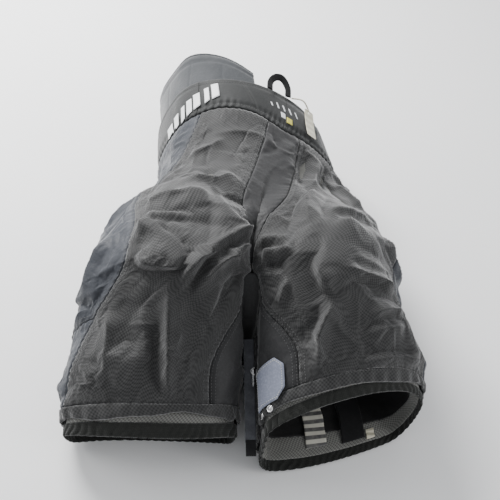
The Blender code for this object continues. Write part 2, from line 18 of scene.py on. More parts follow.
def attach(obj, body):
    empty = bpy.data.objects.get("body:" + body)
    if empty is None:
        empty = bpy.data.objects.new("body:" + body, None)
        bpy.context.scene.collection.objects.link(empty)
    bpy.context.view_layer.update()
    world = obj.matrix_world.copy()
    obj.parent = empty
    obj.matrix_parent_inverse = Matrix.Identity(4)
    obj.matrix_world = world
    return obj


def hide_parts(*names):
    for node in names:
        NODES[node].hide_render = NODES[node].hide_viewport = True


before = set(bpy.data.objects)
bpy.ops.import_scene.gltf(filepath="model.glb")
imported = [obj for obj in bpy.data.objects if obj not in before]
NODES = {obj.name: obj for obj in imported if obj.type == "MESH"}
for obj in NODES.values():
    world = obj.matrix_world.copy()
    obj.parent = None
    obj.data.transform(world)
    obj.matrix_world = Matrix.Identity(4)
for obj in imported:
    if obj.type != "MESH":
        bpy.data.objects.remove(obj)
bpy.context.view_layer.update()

# ---------------------------------------------------------------- shell surface, as in the CAD
WAIST_Y = 0.233
CROTCH_Y = -0.097
HEM_Y = -0.230
CROTCH_DIP = 0.035
WAIST_TILT = 0.020
BAND_COLUMNS = (0.0, 0.13, 0.24, 0.38, 1.0)
BAND_SEAM = {1: (0.212, 0.204, 0.202, 0.206, 0.210), -1: (0.212, 0.172, 0.170, 0.195, 0.210)}
KIDNEY_COLUMNS = (-0.88, -0.75, -0.60, -0.45, -0.20, 0.20, 0.45, 0.60, 0.72)
KIDNEY_HEIGHTS = (0.026, 0.050, 0.064, 0.066, 0.088, 0.100, 0.082, 0.050, -0.012)
KIDNEY_LEAN = 0.024
LEAN_WAY = (-1.0, 0.0, 0.15)
TRUNK_Y = (CROTCH_Y, 0.060, WAIST_Y)
TRUNK_HALF_WIDTH = {1: (0.180, 0.169, 0.118), -1: (0.176, 0.124, 0.119)}
TRUNK_CENTRE_Z = (0.095, 0.080, 0.070)
TRUNK_FRONT_RISE = (0.110, 0.084, 0.092)
TRUNK_TWIST = math.radians(27.0)
TWIST_CENTRE_Z = 0.085
TRUNK_SHIFT_X = 0.037
LEG_SPLIT = math.radians(52)
LEG_HALF_WIDTH = (0.109, 0.108)
LEG_TOP_Z = 0.095
LEG_TOP_RISE = 0.110
HEM_CENTRE_Z = {1: 0.066, -1: 0.047}
HEM_SLANT = {1: (0.010, 0.030), -1: (-0.016, 0.008)}
OUTER_DROP = 0.015
LEG_GAP = 0.010
FLOOR_ROUND = 0.009
PAD_DEPTH = 0.0040
ZIP_LINE = {1: ((-0.144, 0.108), (-0.254, 0.068)), -1: ((-0.142, 0.075), (-0.236, 0.040))}
SLOT_HALF = 0.0075
SIDE_NAME = {1: "left", -1: "right"}
HEM_V = 1.900
CROSS_V = 1.300


def ease(t):
    t = np.clip(t, 0, 1)
    return t * t * (3 - 2 * t)


def lerp(a, b, t):
    return a + (b - a) * t


def through(x, xs, ys):
    """A smooth curve through a few points, flat beyond both ends."""
    xs = np.asarray(xs, float)
    ys = np.asarray(ys, float)
    slopes = np.gradient(ys, xs)
    x = np.clip(x, xs[0], xs[-1])
    i = np.clip(np.searchsorted(xs, x) - 1, 0, len(xs) - 2)
    width = xs[i + 1] - xs[i]
    t = (x - xs[i]) / width
    start_part = (1 + 2 * t) * (1 - t) ** 2 * ys[i] + t * (1 - t) ** 2 * width * slopes[i]
    end_part = t * t * (3 - 2 * t) * ys[i + 1] + t * t * (t - 1) * width * slopes[i + 1]
    return start_part + end_part


def path_run(path):
    """Distance along a path, at each of its points."""
    return np.concatenate([[0], np.cumsum(np.linalg.norm(np.diff(path, axis=0), axis=1))])


def soft_max(a, b, k):
    """The larger of a and b, rounded over 2 k where they cross."""
    d = a - b
    k = np.maximum(k, 1e-6)
    return b + np.where(d > k, d, np.where(d < -k, 0, (d + k) ** 2 / (4 * k)))


def section(half_width, front_rise, centre_z, angle, sink):
    """A section that is round in front and flat behind, at an angle counted from the front."""
    c = np.cos(angle)
    back = -(centre_z + sink) * np.sin(np.pi / 2 * np.clip(-c, 0, 1))
    return half_width * np.sin(angle), centre_z + np.where(c > 0, front_rise * c, back)


def leg_section(side, t, phi):
    width = lerp(LEG_HALF_WIDTH[0], LEG_HALF_WIDTH[1], ease(t))
    hem_z = np.where(side > 0, HEM_CENTRE_Z[1], HEM_CENTRE_Z[-1])
    centre_z = lerp(LEG_TOP_Z, hem_z, t)
    rise = lerp(LEG_TOP_RISE, hem_z, t)
    hem_x = LEG_GAP + LEG_HALF_WIDTH[1] - 0.006
    centre_x = lerp(width * math.sin(LEG_SPLIT), hem_x, ease(1.3 * t))
    x, z = section(width, rise, centre_z, phi, 0.012)
    run = np.clip(t * (CROTCH_Y - HEM_Y), 0, LEG_GAP)
    wall = np.sqrt(np.maximum(LEG_GAP**2 - (LEG_GAP - run) ** 2, 0))
    return soft_max(centre_x + x, wall, 0.006 * ease(t / 0.15)), z


def trunk_section(side, y, c):
    left = through(y, TRUNK_Y, TRUNK_HALF_WIDTH[1])
    right = through(y, TRUNK_Y, TRUNK_HALF_WIDTH[-1])
    width = np.where(side > 0, left, right)
    rise = through(y, TRUNK_Y, TRUNK_FRONT_RISE)
    centre_z = through(y, TRUNK_Y, TRUNK_CENTRE_Z)
    return section(width, rise, centre_z, np.pi * c, 0.038)


def shell_point(side, v, c):
    """Points on the shell's outer face, for arrays of side (1 is left), v and c."""
    side, v, c = np.broadcast_arrays(*(np.asarray(a, float) for a in (side, v, c)))
    over = (v < 1) & ((c < 0) | (c > 1))
    side = np.where(over, -side, side)
    v = np.where(over, 2 - v, v)
    c = np.where(c > 1, c - 2, np.where(c < -1, c + 2, c))
    inner = c < 0
    phi = -LEG_SPLIT + np.where(inner, (np.pi - 2 * LEG_SPLIT) * c, (np.pi + 2 * LEG_SPLIT) * c)
    t = np.clip(v - 1, 0, 2)
    trunk_y = lerp(WAIST_Y, CROTCH_Y, v)
    xt, zt = trunk_section(side, trunk_y, np.clip(c, 0, 1))
    xl, zl = leg_section(side, t, phi)
    q = ease((v - 0.35) / 0.65)
    x = side * lerp(xt, xl, q)
    z = lerp(zt, zl, q)
    y = np.where(v <= 1, trunk_y, lerp(CROTCH_Y, HEM_Y, t))
    y = y - np.where(inner, CROTCH_DIP * np.clip(1 - t, 0, 1) ** 2 * np.sin(np.pi * -c), 0)
    along = np.where(side > 0, HEM_SLANT[1][0], HEM_SLANT[-1][0])
    across = np.where(side > 0, HEM_SLANT[1][1], HEM_SLANT[-1][1])
    y = y + t * (along * np.cos(phi) + across * np.sin(phi))
    y = y - OUTER_DROP * ease((v - 0.5) / 1.5) * x * x / (x * x + 0.0036)
    y = y - WAIST_TILT * ease(1 - v) * (1 + side * np.sin(np.pi * np.clip(c, 0, 1)))
    turn = TRUNK_TWIST * ease(1 - v)
    dz = z - TWIST_CENTRE_Z
    x_turned = x * np.cos(turn) + dz * np.sin(turn) + TRUNK_SHIFT_X * ease(1 - v)
    z_turned = TWIST_CENTRE_Z + dz * np.cos(turn) - x * np.sin(turn)
    return np.stack([x_turned, y, soft_max(z_turned, 0.0, FLOOR_ROUND)], -1)


def shell_normal(side, v, c):
    step = 2e-3
    crossing = (v > 0.98) & ((c <= 0) | (c >= 1))
    low = np.where(v < 1, np.maximum(c - step, 0), c - step)
    high = np.where(v < 1, np.minimum(c + step, 1), c + step)
    low = np.where(crossing & (v < 1), c - step, low)
    high = np.where(crossing & (v < 1), c + step, high)
    along = shell_point(side, v + step, c) - shell_point(side, v - step, c)
    around = shell_point(side, v, high) - shell_point(side, v, low)
    normal = np.cross(along, around) * np.asarray(side, float)[..., None]
    return normal / np.linalg.norm(normal, axis=-1, keepdims=True)


def band_seam(side, c):
    """The row where the waistband meets the shell."""
    left = through(c, BAND_COLUMNS, BAND_SEAM[1])
    right = through(c, BAND_COLUMNS, BAND_SEAM[-1])
    return np.where(np.asarray(side) > 0, left, right)


def side_seam(side, v):
    """The seam between the mesh front and the nylon side: it swings forward under the right hip."""
    right = through(v, (0.20, 0.60, 0.85, 1.05, 1.35, 1.90), (0.340, 0.400, 0.305, 0.320, 0.390, 0.440))
    left = through(v, (0.20, 1.00, 1.90), (0.400, 0.405, 0.440))
    return np.where(np.asarray(side) > 0, left, right)


def inner_seam(v):
    """The front seam: beside the gusset, in to the crotch, then forward again down the leg."""
    trunk = lerp(0.062, 0.004, ease((v - 0.62) / 0.36))
    leg = lerp(-0.002, 0.062, ease((v - 1.10) / 0.60))
    return np.where(v < 1, trunk, leg)


def slot_column(side, v, offset):
    """The column c where the inner leg wall lies `offset` above the zip's chain line."""
    (y0, z0), (y1, z1) = ZIP_LINE[side]
    length = math.hypot(y1 - y0, z1 - z0)
    low = np.full(np.shape(v), -0.98)
    high = np.full(np.shape(v), -0.02)
    for _ in range(30):
        middle = (low + high) / 2
        point = shell_point(side, v, middle)
        above = (-(point[..., 1] - y0) * (z1 - z0) + (point[..., 2] - z0) * (y1 - y0)) / -length
        too_low = above < offset
        low = np.where(too_low, middle, low)
        high = np.where(too_low, high, middle)
    return (low + high) / 2


def kidney_rise(across):
    return through(across, KIDNEY_COLUMNS, KIDNEY_HEIGHTS)


def zip_frame(side, along):
    """Origin and axes of a leg zip at a part of its length: down the chain, across it and out of the leg."""
    (y0, z0), (y1, z1) = ZIP_LINE[side]
    down = np.array([0.0, y1 - y0, z1 - z0])
    length = float(np.linalg.norm(down))
    down /= length
    out = np.array([-side, 0.0, 0.0])
    across = np.cross(out, down)
    origin = np.array([side * LEG_GAP, y0, z0]) + down * length * along
    return origin, down, across, out, length


def surface_frame(side, v, c, depth):
    """A frame on the shell: origin, across (towards the outer side), along (towards the hem) and out."""
    side_a, v_a, c_a = (np.array([float(a)]) for a in (side, v, c))
    out = shell_normal(side_a, v_a, c_a)[0]
    point = shell_point(side_a, v_a, c_a)[0] - depth * out
    ahead = shell_point(side, v + 0.004, c) - shell_point(side, v - 0.004, c)
    along = ahead - out * float(np.dot(ahead, out))
    along /= np.linalg.norm(along)
    return point, np.cross(along, out), along, out


def smooth_line(points, count):
    """A smooth curve through a few points, at even steps."""
    points = np.asarray(points, float)
    steps = path_run(points)
    fine = np.linspace(0, steps[-1], 400)
    dense = np.stack([through(fine, steps, points[:, k]) for k in range(points.shape[1])], -1)
    run = path_run(dense)
    even = np.linspace(0, run[-1], count)
    return np.stack([np.interp(even, run, dense[:, k]) for k in range(points.shape[1])], -1)


# ---------------------------------------------------------------- camera, floor and light
CAMERA_AZIMUTH = math.radians(-14.74)
CAMERA_ELEVATION = math.radians(52.10)
CAMERA_ROLL = math.radians(13.08)
CAMERA_DISTANCE = 1.305
CAMERA_TARGET = Vector((0.0152, -0.0105, 0.0900))
CAMERA_LENS = 72.04


def make_camera():
    back = Vector(
        (
            math.sin(CAMERA_AZIMUTH) * math.cos(CAMERA_ELEVATION),
            -math.cos(CAMERA_AZIMUTH) * math.cos(CAMERA_ELEVATION),
            math.sin(CAMERA_ELEVATION),
        )
    )
    right = Vector((0, 0, 1)).cross(back).normalized()
    up = back.cross(right)
    across = right * math.cos(CAMERA_ROLL) + up * math.sin(CAMERA_ROLL)
    above = up * math.cos(CAMERA_ROLL) - right * math.sin(CAMERA_ROLL)
    data = bpy.data.cameras.new("camera")
    data.lens = CAMERA_LENS
    data.sensor_width = 36.0
    camera = bpy.data.objects.new("camera", data)
    bpy.context.scene.collection.objects.link(camera)
    camera.matrix_world = Matrix.Translation(CAMERA_TARGET + back * CAMERA_DISTANCE) @ Matrix(
        (across, above, back)
    ).transposed().to_4x4()
    bpy.context.scene.camera = camera


make_camera()


# ---------------------------------------------------------------- materials
class Shader:
    """A Principled material with a few short ways to add texture nodes."""

    def __init__(self, name, colour, roughness, metallic=0.0, sheen=0.0, specular=0.5):
        self.material = bpy.data.materials.new(name)
        self.material.use_nodes = True
        self.material.diffuse_color = (*colour, 1)
        self.tree = self.material.node_tree
        self.base = self.tree.nodes["Principled BSDF"]
        self.colour = colour
        self.base.inputs["Base Color"].default_value = (*colour, 1)
        self.base.inputs["Roughness"].default_value = roughness
        self.base.inputs["Metallic"].default_value = metallic
        self.base.inputs["Specular IOR Level"].default_value = specular
        if sheen:
            self.base.inputs["Sheen Weight"].default_value = sheen
            self.base.inputs["Sheen Roughness"].default_value = 0.45
        self.heights = []

    def node(self, kind, inputs=None, **settings):
        made = self.tree.nodes.new("ShaderNode" + kind)
        for key, value in settings.items():
            setattr(made, key, value)
        for key, value in (inputs or {}).items():
            if isinstance(value, bpy.types.NodeSocket):
                self.tree.links.new(value, made.inputs[key])
            else:
                made.inputs[key].default_value = value
        return made

    def coords(self, kind="UV", scale=(1, 1, 1), angle=0.0):
        source = self.node("TexCoord").outputs[kind]
        inputs = {"Vector": source, "Scale": scale, "Rotation": (0, 0, angle)}
        return self.node("Mapping", inputs).outputs["Vector"]

    def math(self, operation, a, b=0.0):
        return self.node("Math", {0: a, 1: b}, operation=operation).outputs[0]

    def noise(self, scale, detail=2.0, roughness=0.5, kind="Object", stretch=(1, 1, 1)):
        inputs = {"Vector": self.coords(kind, stretch), "Scale": scale}
        inputs |= {"Detail": detail, "Roughness": roughness}
        return self.node("TexNoise", inputs).outputs["Fac"]

    def ramp(self, value, low, high, to_low=0.0, to_high=1.0):
        inputs = {"Value": value, "From Min": low, "From Max": high, "To Min": to_low, "To Max": to_high}
        return self.node("MapRange", inputs).outputs["Result"]

    def wave(self, pitch, angle, kind="UV"):
        """A sine from 0 to 1 across lines that lie a pitch apart."""
        split = self.node("SeparateXYZ", {"Vector": self.coords(kind, (1, 1, 1), angle)}).outputs["X"]
        phase = self.math("MULTIPLY", split, 2 * math.pi / pitch)
        return self.math("MULTIPLY_ADD", self.math("SINE", phase), 0.5)

    def bump(self, value, distance):
        self.heights.append((value, distance))

    def tint(self, value, colour):
        """Mixes this colour in, where value is 1."""
        socket = self.base.inputs["Base Color"]
        below = socket.links[0].from_socket if socket.links else (*self.colour, 1)
        mixed = self.node("Mix", data_type="RGBA")
        for key, part in ((0, value), (6, below), (7, (*colour, 1))):
            if isinstance(part, bpy.types.NodeSocket):
                self.tree.links.new(part, mixed.inputs[key])
            else:
                mixed.inputs[key].default_value = part
        self.tree.links.new(mixed.outputs[2], socket)

    def rough(self, value, low, high):
        self.tree.links.new(self.ramp(value, 0.3, 0.7, low, high), self.base.inputs["Roughness"])

    def done(self):
        normal = None
        for value, distance in self.heights:
            inputs = {"Height": value, "Distance": distance, "Strength": 1.0}
            if normal:
                inputs["Normal"] = normal
            normal = self.node("Bump", inputs).outputs["Normal"]
        if normal:
            self.tree.links.new(normal, self.base.inputs["Normal"])
        return self.material


def shade(colour, factor):
    return tuple(min(1.0, part * factor) for part in colour)


def woven(name, colour, pitch, depth, roughness, sheen, twill=0.25, wrinkle=0.0006, fade=1.35):
    """Plain woven or knitted cloth: crossing threads, uneven dye, small creases and fading in large random
    patches.
    """
    s = Shader(name, colour, roughness, sheen=sheen, specular=0.16)
    warp = s.wave(pitch, math.pi / 4 + twill)
    weft = s.wave(pitch, -math.pi / 4 + twill)
    cross = s.math("MULTIPLY", warp, weft)
    s.tint(s.ramp(cross, 0.1, 0.9, 0.55, 0.0), shade(colour, 0.55))
    s.tint(s.ramp(s.noise(7.0, 4.0), 0.38, 0.72, 0.0, 0.45), shade(colour, fade))
    s.tint(s.ramp(s.noise(420.0, 2.0), 0.45, 0.75, 0.0, 0.35), shade(colour, 1.7))
    s.rough(s.noise(38.0, 3.0), roughness - 0.08, roughness + 0.08)
    if wrinkle:
        s.bump(s.noise(90, 4.0, 0.55), wrinkle)
    s.bump(cross, depth)
    return s.done()


def open_mesh(name, colour, pitch):
    """Knitted mesh: crossing ribs with small round holes between them."""
    s = Shader(name, colour, 0.62, sheen=0.40, specular=0.16)
    ribs = s.wave(pitch, math.radians(38))
    across = s.wave(pitch, math.radians(-52))
    knots = s.math("MULTIPLY", ribs, across)
    holes = s.math("MULTIPLY", s.ramp(ribs, 0.5, 0.0), s.ramp(across, 0.5, 0.0))
    s.tint(s.ramp(s.noise(6.0, 4.0), 0.35, 0.72, 0.0, 0.5), shade(colour, 1.45))
    s.tint(s.ramp(knots, 0.25, 1.0, 0.0, 0.75), shade(colour, 2.1))
    s.tint(holes, shade(colour, 0.20))
    s.rough(s.noise(30.0, 3.0), 0.50, 0.70)
    s.bump(s.noise(75.0, 4.0, 0.55), 0.0007)
    s.bump(s.math("SUBTRACT", knots, holes), 0.00018)
    return s.done()


def metal(name, colour, roughness):
    s = Shader(name, colour, roughness, metallic=1.0)
    s.tint(s.ramp(s.noise(160.0, 4.0), 0.5, 0.8, 0.0, 0.5), shade(colour, 0.55))
    s.rough(s.noise(300.0, 3.0), roughness - 0.06, roughness + 0.12)
    s.bump(s.noise(900.0, 2.0), 0.00003)
    return s.done()


def thread(name, colour):
    s = Shader(name, colour, 0.55, sheen=0.2)
    s.tint(s.ramp(s.noise(500.0, 2.0), 0.4, 0.7, 0.0, 0.5), shade(colour, 0.6))
    s.bump(s.noise(1800.0, 2.0), 0.0001)
    return s.done()


def foam(name, colour):
    s = Shader(name, colour, 0.85)
    cells = s.node("TexVoronoi", {"Vector": s.coords("Object"), "Scale": 500.0}).outputs["Distance"]
    s.tint(s.ramp(cells, 0.0, 0.6, 0.5, 0.0), shade(colour, 0.6))
    s.bump(cells, 0.0002)
    return s.done()


def plastic(name, colour):
    s = Shader(name, colour, 0.42)
    s.tint(s.ramp(s.noise(60.0, 4.0), 0.5, 0.75, 0.0, 0.3), shade(colour, 0.8))
    s.bump(s.noise(1500.0, 2.0), 0.00004)
    return s.done()


def satin_label(name, colour, stripe, pitch):
    """A woven label: satin ground with silver stripes across it."""
    s = Shader(name, colour, 0.42, sheen=0.2)
    s.tint(s.ramp(s.wave(pitch, math.pi / 2), 0.45, 0.55), stripe)
    s.tint(s.ramp(s.noise(200.0, 3.0), 0.4, 0.7, 0.0, 0.25), shade(colour, 0.7))
    s.bump(s.wave(0.0007, 0.0), 0.00006)
    return s.done()


MESH_GREY = (0.032, 0.032, 0.032)
NYLON_GREY = (0.044, 0.048, 0.057)
NYLON_DARK = (0.034, 0.034, 0.035)
MATERIALS = {
    "mesh_fabric": open_mesh("mesh_fabric_look", MESH_GREY, 0.0034),
    "nylon_fabric": woven("nylon_fabric_look", NYLON_GREY, 0.0009, 0.00006, 0.42, 0.25, wrinkle=0.0011),
    "nylon_dark": woven("nylon_dark_look", NYLON_DARK, 0.0009, 0.00006, 0.46, 0.20, wrinkle=0.0011),
    "band_fabric": woven("band_fabric_look", (0.026, 0.027, 0.027), 0.0016, 0.00012, 0.60, 0.26),
    "pad_cover": woven("pad_cover_look", (0.040, 0.043, 0.047), 0.0016, 0.00010, 0.68, 0.40, fade=1.2),
    "liner_fabric": woven("liner_fabric_look", (0.110, 0.110, 0.100), 0.0016, 0.00010, 0.75, 0.30, fade=1.2),
    # Leg lining look: near-black. This is partly the dark nylon inside the front of the leg, and partly painted
    # shade over the grey liner behind it, where the inside of the leg lies in shadow.
    "dark_nylon_and_painted_shade": woven("dark_nylon_and_painted_shade_look", (0.016, 0.016, 0.016), 0.0014, 0.00008, 0.55, 0.10),
    "elastic": woven("elastic_look", (0.020, 0.021, 0.019), 0.0022, 0.00030, 0.80, 0.25, twill=math.pi / 4),
    "webbing": woven(
        "webbing_look", (0.011, 0.011, 0.012), 0.0016, 0.00025, 0.65, 0.15, twill=math.pi / 4, wrinkle=0
    ),
    "tab_fabric": woven("tab_fabric_look", (0.250, 0.270, 0.345), 0.0014, 0.00014, 0.55, 0.30, wrinkle=0.0004),
    "tab_nylon": woven("tab_nylon_look", (0.080, 0.083, 0.094), 0.0014, 0.00008, 0.45, 0.30, wrinkle=0.0006),
    "pale_mesh": open_mesh("pale_mesh_look", (0.15, 0.15, 0.14), 0.0030),
    "foam": foam("foam_look", (0.300, 0.300, 0.290)),
    "guard_plastic": plastic("guard_plastic_look", (0.600, 0.600, 0.580)),
    "zip_metal": metal("zip_metal_look", (0.62, 0.62, 0.62), 0.26),
    "zip_teeth": plastic("zip_teeth_look", (0.030, 0.030, 0.032)),
    "label": satin_label("label_look", (0.66, 0.64, 0.56), (0.10, 0.10, 0.10), 0.011),
    "care_label": satin_label("care_label_look", (0.68, 0.64, 0.50), (0.60, 0.57, 0.45), 0.003),
    "card": satin_label("card_look", (0.740, 0.710, 0.560), (0.600, 0.560, 0.430), 0.011),
    "string": thread("string_look", (0.62, 0.58, 0.46)),
    "dark_thread": thread("dark_thread_look", (0.060, 0.060, 0.060)),
    "pale_thread": thread("pale_thread_look", (0.60, 0.60, 0.58)),
    "print_white": plastic("print_white_look", (0.74, 0.75, 0.76)),
    "print_yellow": plastic("print_yellow_look", (0.62, 0.56, 0.10)),
}

# ---------------------------------------------------------------- folds
# Each fold: side, height, half widths towards its left and its right, sideways lean, points (v, c).
# Left and right are seen walking along the points with the cloth's outer face up. Heights are outwards.
FOLDS = (
    # wearer's right leg and hip
    (-1, 0.0055, 0.012, 0.017, 0.0, ((0.735, 0.31), (0.74, 0.22), (0.735, 0.13))),
    (-1, -0.0035, 0.007, 0.009, 0.0, ((0.8, 0.3), (0.82, 0.2), (0.795, 0.12))),
    (-1, -0.003, 0.006, 0.008, 0.0, ((0.7, 0.12), (0.715, 0.07), (0.725, 0.03))),
    (-1, 0.008, 0.026, 0.026, 0.0, ((0.85, 0.13), (0.86, 0.08), (0.84, 0.03))),
    (-1, 0.0035, 0.006, 0.008, 0.0, ((0.835, 0.28), (0.845, 0.23), (0.83, 0.18))),
    (-1, -0.003, 0.005, 0.006, 0.0, ((0.865, 0.27), (0.875, 0.22), (0.86, 0.17))),
    (-1, 0.01, 0.02, 0.013, 0.0, ((0.86, 0.3), (0.91, 0.25), (0.985, 0.21), (1.05, 0.175))),
    (-1, -0.006, 0.006, 0.008, 0.0, ((0.88, 0.245), (0.945, 0.2), (1.0, 0.17), (1.04, 0.15))),
    (-1, 0.008, 0.022, 0.014, 0.0, ((0.99, 0.28), (1.07, 0.25), (1.1, 0.215), (1.085, 0.17))),
    (-1, -0.004, 0.007, 0.008, 0.0, ((1.0, 0.3), (1.12, 0.25), (1.13, 0.19), (1.1, 0.15))),
    (-1, 0.01, 0.007, 0.008, 0.007, (
        (1.27, 0.18), (1.15, 0.165), (1.03, 0.14), (0.96, 0.095), (0.89, 0.045), (0.845, 0.012),
    )),
    (-1, -0.0035, 0.004, 0.004, 0.0, ((1.24, 0.155), (1.12, 0.14), (1.03, 0.115), (0.96, 0.07), (0.9, 0.03))),
    (-1, 0.0078, 0.006, 0.007, 0.005, (
        (1.29, 0.15), (1.17, 0.125), (1.06, 0.095), (0.98, 0.055), (0.915, 0.015),
    )),
    (-1, -0.0075, 0.006, 0.009, 0.0, ((1.33, 0.12), (1.27, 0.095), (1.13, 0.055), (1.02, 0.015))),
    (-1, 0.007, 0.012, 0.007, -0.002, (
        (1.18, 0.205), (1.34, 0.19), (1.5, 0.175), (1.63, 0.165), (1.8, 0.158), (1.9, 0.15),
    )),
    (-1, -0.0045, 0.005, 0.006, 0.0, ((1.4, 0.205), (1.5, 0.2), (1.65, 0.19), (1.78, 0.18), (1.9, 0.175))),
    (-1, 0.003, 0.004, 0.004, 0.0, ((1.47, 0.15), (1.54, 0.155), (1.62, 0.16))),
    (-1, 0.003, 0.01, 0.014, 0.0, ((1.31, 0.255), (1.49, 0.225), (1.72, 0.205))),
    (-1, 0.004, 0.01, 0.012, 0.0, ((1.3, 0.33), (1.5, 0.31), (1.7, 0.3))),
    (-1, -0.003, 0.008, 0.01, 0.0, ((1.25, 0.3), (1.45, 0.27), (1.65, 0.255))),
    (-1, 0.0045, 0.009, 0.013, 0.0, ((0.56, 0.1), (0.62, 0.16), (0.64, 0.24))),
    (-1, -0.0025, 0.007, 0.009, 0.0, ((0.52, 0.16), (0.59, 0.22), (0.6, 0.3))),
    (-1, 0.0035, 0.008, 0.01, 0.0, ((0.33, 0.2), (0.4, 0.26), (0.43, 0.33))),
    (-1, 0.005, 0.01, 0.012, 0.0, ((0.56, 0.38), (0.66, 0.42), (0.76, 0.46))),
    (-1, 0.006, 0.012, 0.014, 0.0, ((0.85, 0.36), (1.0, 0.42), (1.12, 0.5))),
    (-1, -0.0045, 0.008, 0.009, 0.0, ((0.78, 0.37), (0.92, 0.43), (1.04, 0.52))),
    (-1, 0.0045, 0.009, 0.012, 0.0, ((1.18, 0.4), (1.26, 0.46), (1.3, 0.54))),
    # wearer's left leg and hip
    (1, 0.006, 0.012, 0.009, 0.0, ((0.57, 0.135), (0.7, 0.12), (0.87, 0.14))),
    (1, -0.004, 0.006, 0.008, 0.0, ((0.6, 0.1), (0.76, 0.09), (0.92, 0.105))),
    (1, -0.003, 0.007, 0.008, 0.0, ((0.62, 0.165), (0.74, 0.16), (0.86, 0.175))),
    (1, -0.0045, 0.007, 0.01, 0.0, ((0.26, 0.105), (0.4, 0.09), (0.54, 0.085))),
    (1, -0.004, 0.006, 0.009, 0.0, ((0.25, 0.2), (0.38, 0.16), (0.52, 0.135))),
    (1, 0.004, 0.008, 0.006, 0.0, ((0.26, 0.15), (0.4, 0.125), (0.56, 0.11))),
    (1, 0.0045, 0.009, 0.009, 0.0, ((0.8, 0.165), (0.76, 0.22), (0.7, 0.29))),
    (1, 0.0095, 0.016, 0.0075, -0.003, (
        (0.8, 0.245), (0.92, 0.208), (1.0, 0.185), (1.09, 0.166), (1.2, 0.165), (1.3, 0.172),
        (1.37, 0.168),
    )),
    (1, -0.007, 0.008, 0.016, 0.0, ((0.93, 0.17), (1.02, 0.145), (1.12, 0.13), (1.25, 0.135), (1.35, 0.145))),
    (1, 0.0075, 0.01, 0.007, -0.002, (
        (1.34, 0.172), (1.44, 0.152), (1.55, 0.127), (1.64, 0.115), (1.78, 0.11), (1.88, 0.115),
    )),
    (1, -0.0045, 0.006, 0.009, 0.0, ((1.38, 0.135), (1.47, 0.12), (1.56, 0.095), (1.66, 0.085))),
    (1, 0.006, 0.012, 0.014, 0.0, ((1.1, 0.21), (1.13, 0.29), (1.12, 0.38))),
    (1, -0.005, 0.01, 0.012, 0.0, ((1.22, 0.2), (1.25, 0.29), (1.23, 0.39))),
    (1, 0.006, 0.012, 0.012, 0.0, ((1.5, 0.23), (1.42, 0.29), (1.35, 0.37))),
    (1, -0.004, 0.008, 0.01, 0.0, ((1.57, 0.2), (1.5, 0.27), (1.44, 0.36))),
    (1, 0.0045, 0.01, 0.01, 0.0, ((1.63, 0.215), (1.58, 0.27), (1.53, 0.34))),
    (1, 0.005, 0.009, 0.011, 0.0, ((1.84, 0.2), (1.815, 0.28), (1.79, 0.4))),
    (1, -0.0035, 0.006, 0.008, 0.0, ((1.78, 0.19), (1.76, 0.27), (1.73, 0.37))),
    (1, 0.006, 0.007, 0.009, 0.002, ((0.955, 0.03), (0.975, 0.07), (0.99, 0.115))),
    (1, -0.0065, 0.006, 0.007, 0.0, ((1.01, 0.035), (1.04, 0.07), (1.05, 0.115))),
    (1, 0.004, 0.006, 0.007, 0.0, ((0.89, 0.02), (0.9, 0.06), (0.93, 0.1))),
    (1, -0.003, 0.005, 0.006, 0.0, ((0.925, 0.02), (0.935, 0.055), (0.96, 0.095))),
    (1, 0.0035, 0.006, 0.007, 0.0, ((1.15, 0.09), (1.22, 0.075), (1.33, 0.05))),
    (1, 0.006, 0.012, 0.014, 0.0, ((0.42, 0.33), (0.52, 0.37), (0.62, 0.43))),
    (1, -0.004, 0.008, 0.01, 0.0, ((0.38, 0.38), (0.48, 0.42), (0.56, 0.48))),
    (1, 0.005, 0.01, 0.012, 0.0, ((0.32, 0.23), (0.42, 0.26), (0.52, 0.31))),
    (1, -0.0035, 0.008, 0.009, 0.0, ((0.36, 0.18), (0.46, 0.205), (0.56, 0.25))),
    (1, 0.0045, 0.008, 0.01, 0.0, ((0.26, 0.3), (0.3, 0.36), (0.35, 0.43))),
    (1, 0.0055, 0.012, 0.014, 0.0, ((0.78, 0.34), (0.87, 0.4), (0.95, 0.47))),
    (1, -0.004, 0.009, 0.01, 0.0, ((0.86, 0.31), (0.95, 0.36), (1.03, 0.43))),
)
# Rows and columns over the thigh guards, the hip pads and the tailbone pad
GUARDED = (((0.76, 1.88), (0.07, 0.48)), ((0.14, 1.02), (0.24, 0.74)), ((0.32, 1.02), (0.78, 1.20)))
DEEPEST_OVER_GUARD = 0.0015
DEEPEST = 0.0075
FOLD_GAIN = 1.9


def fold_lines():
    """Each fold's line in space, with the normals along it."""
    made = []
    for side, height, wide_left, wide_right, lean, points in FOLDS:
        line = smooth_line(points, 48)
        v, c = line[:, 0], line[:, 1]
        places = shell_point(side, v, c)
        normals = shell_normal(np.full(v.shape, side), v, c)
        run = path_run(places)
        made.append((side, height, wide_left, wide_right, lean, places, normals, run))
    return made


FOLD_LINES = fold_lines()


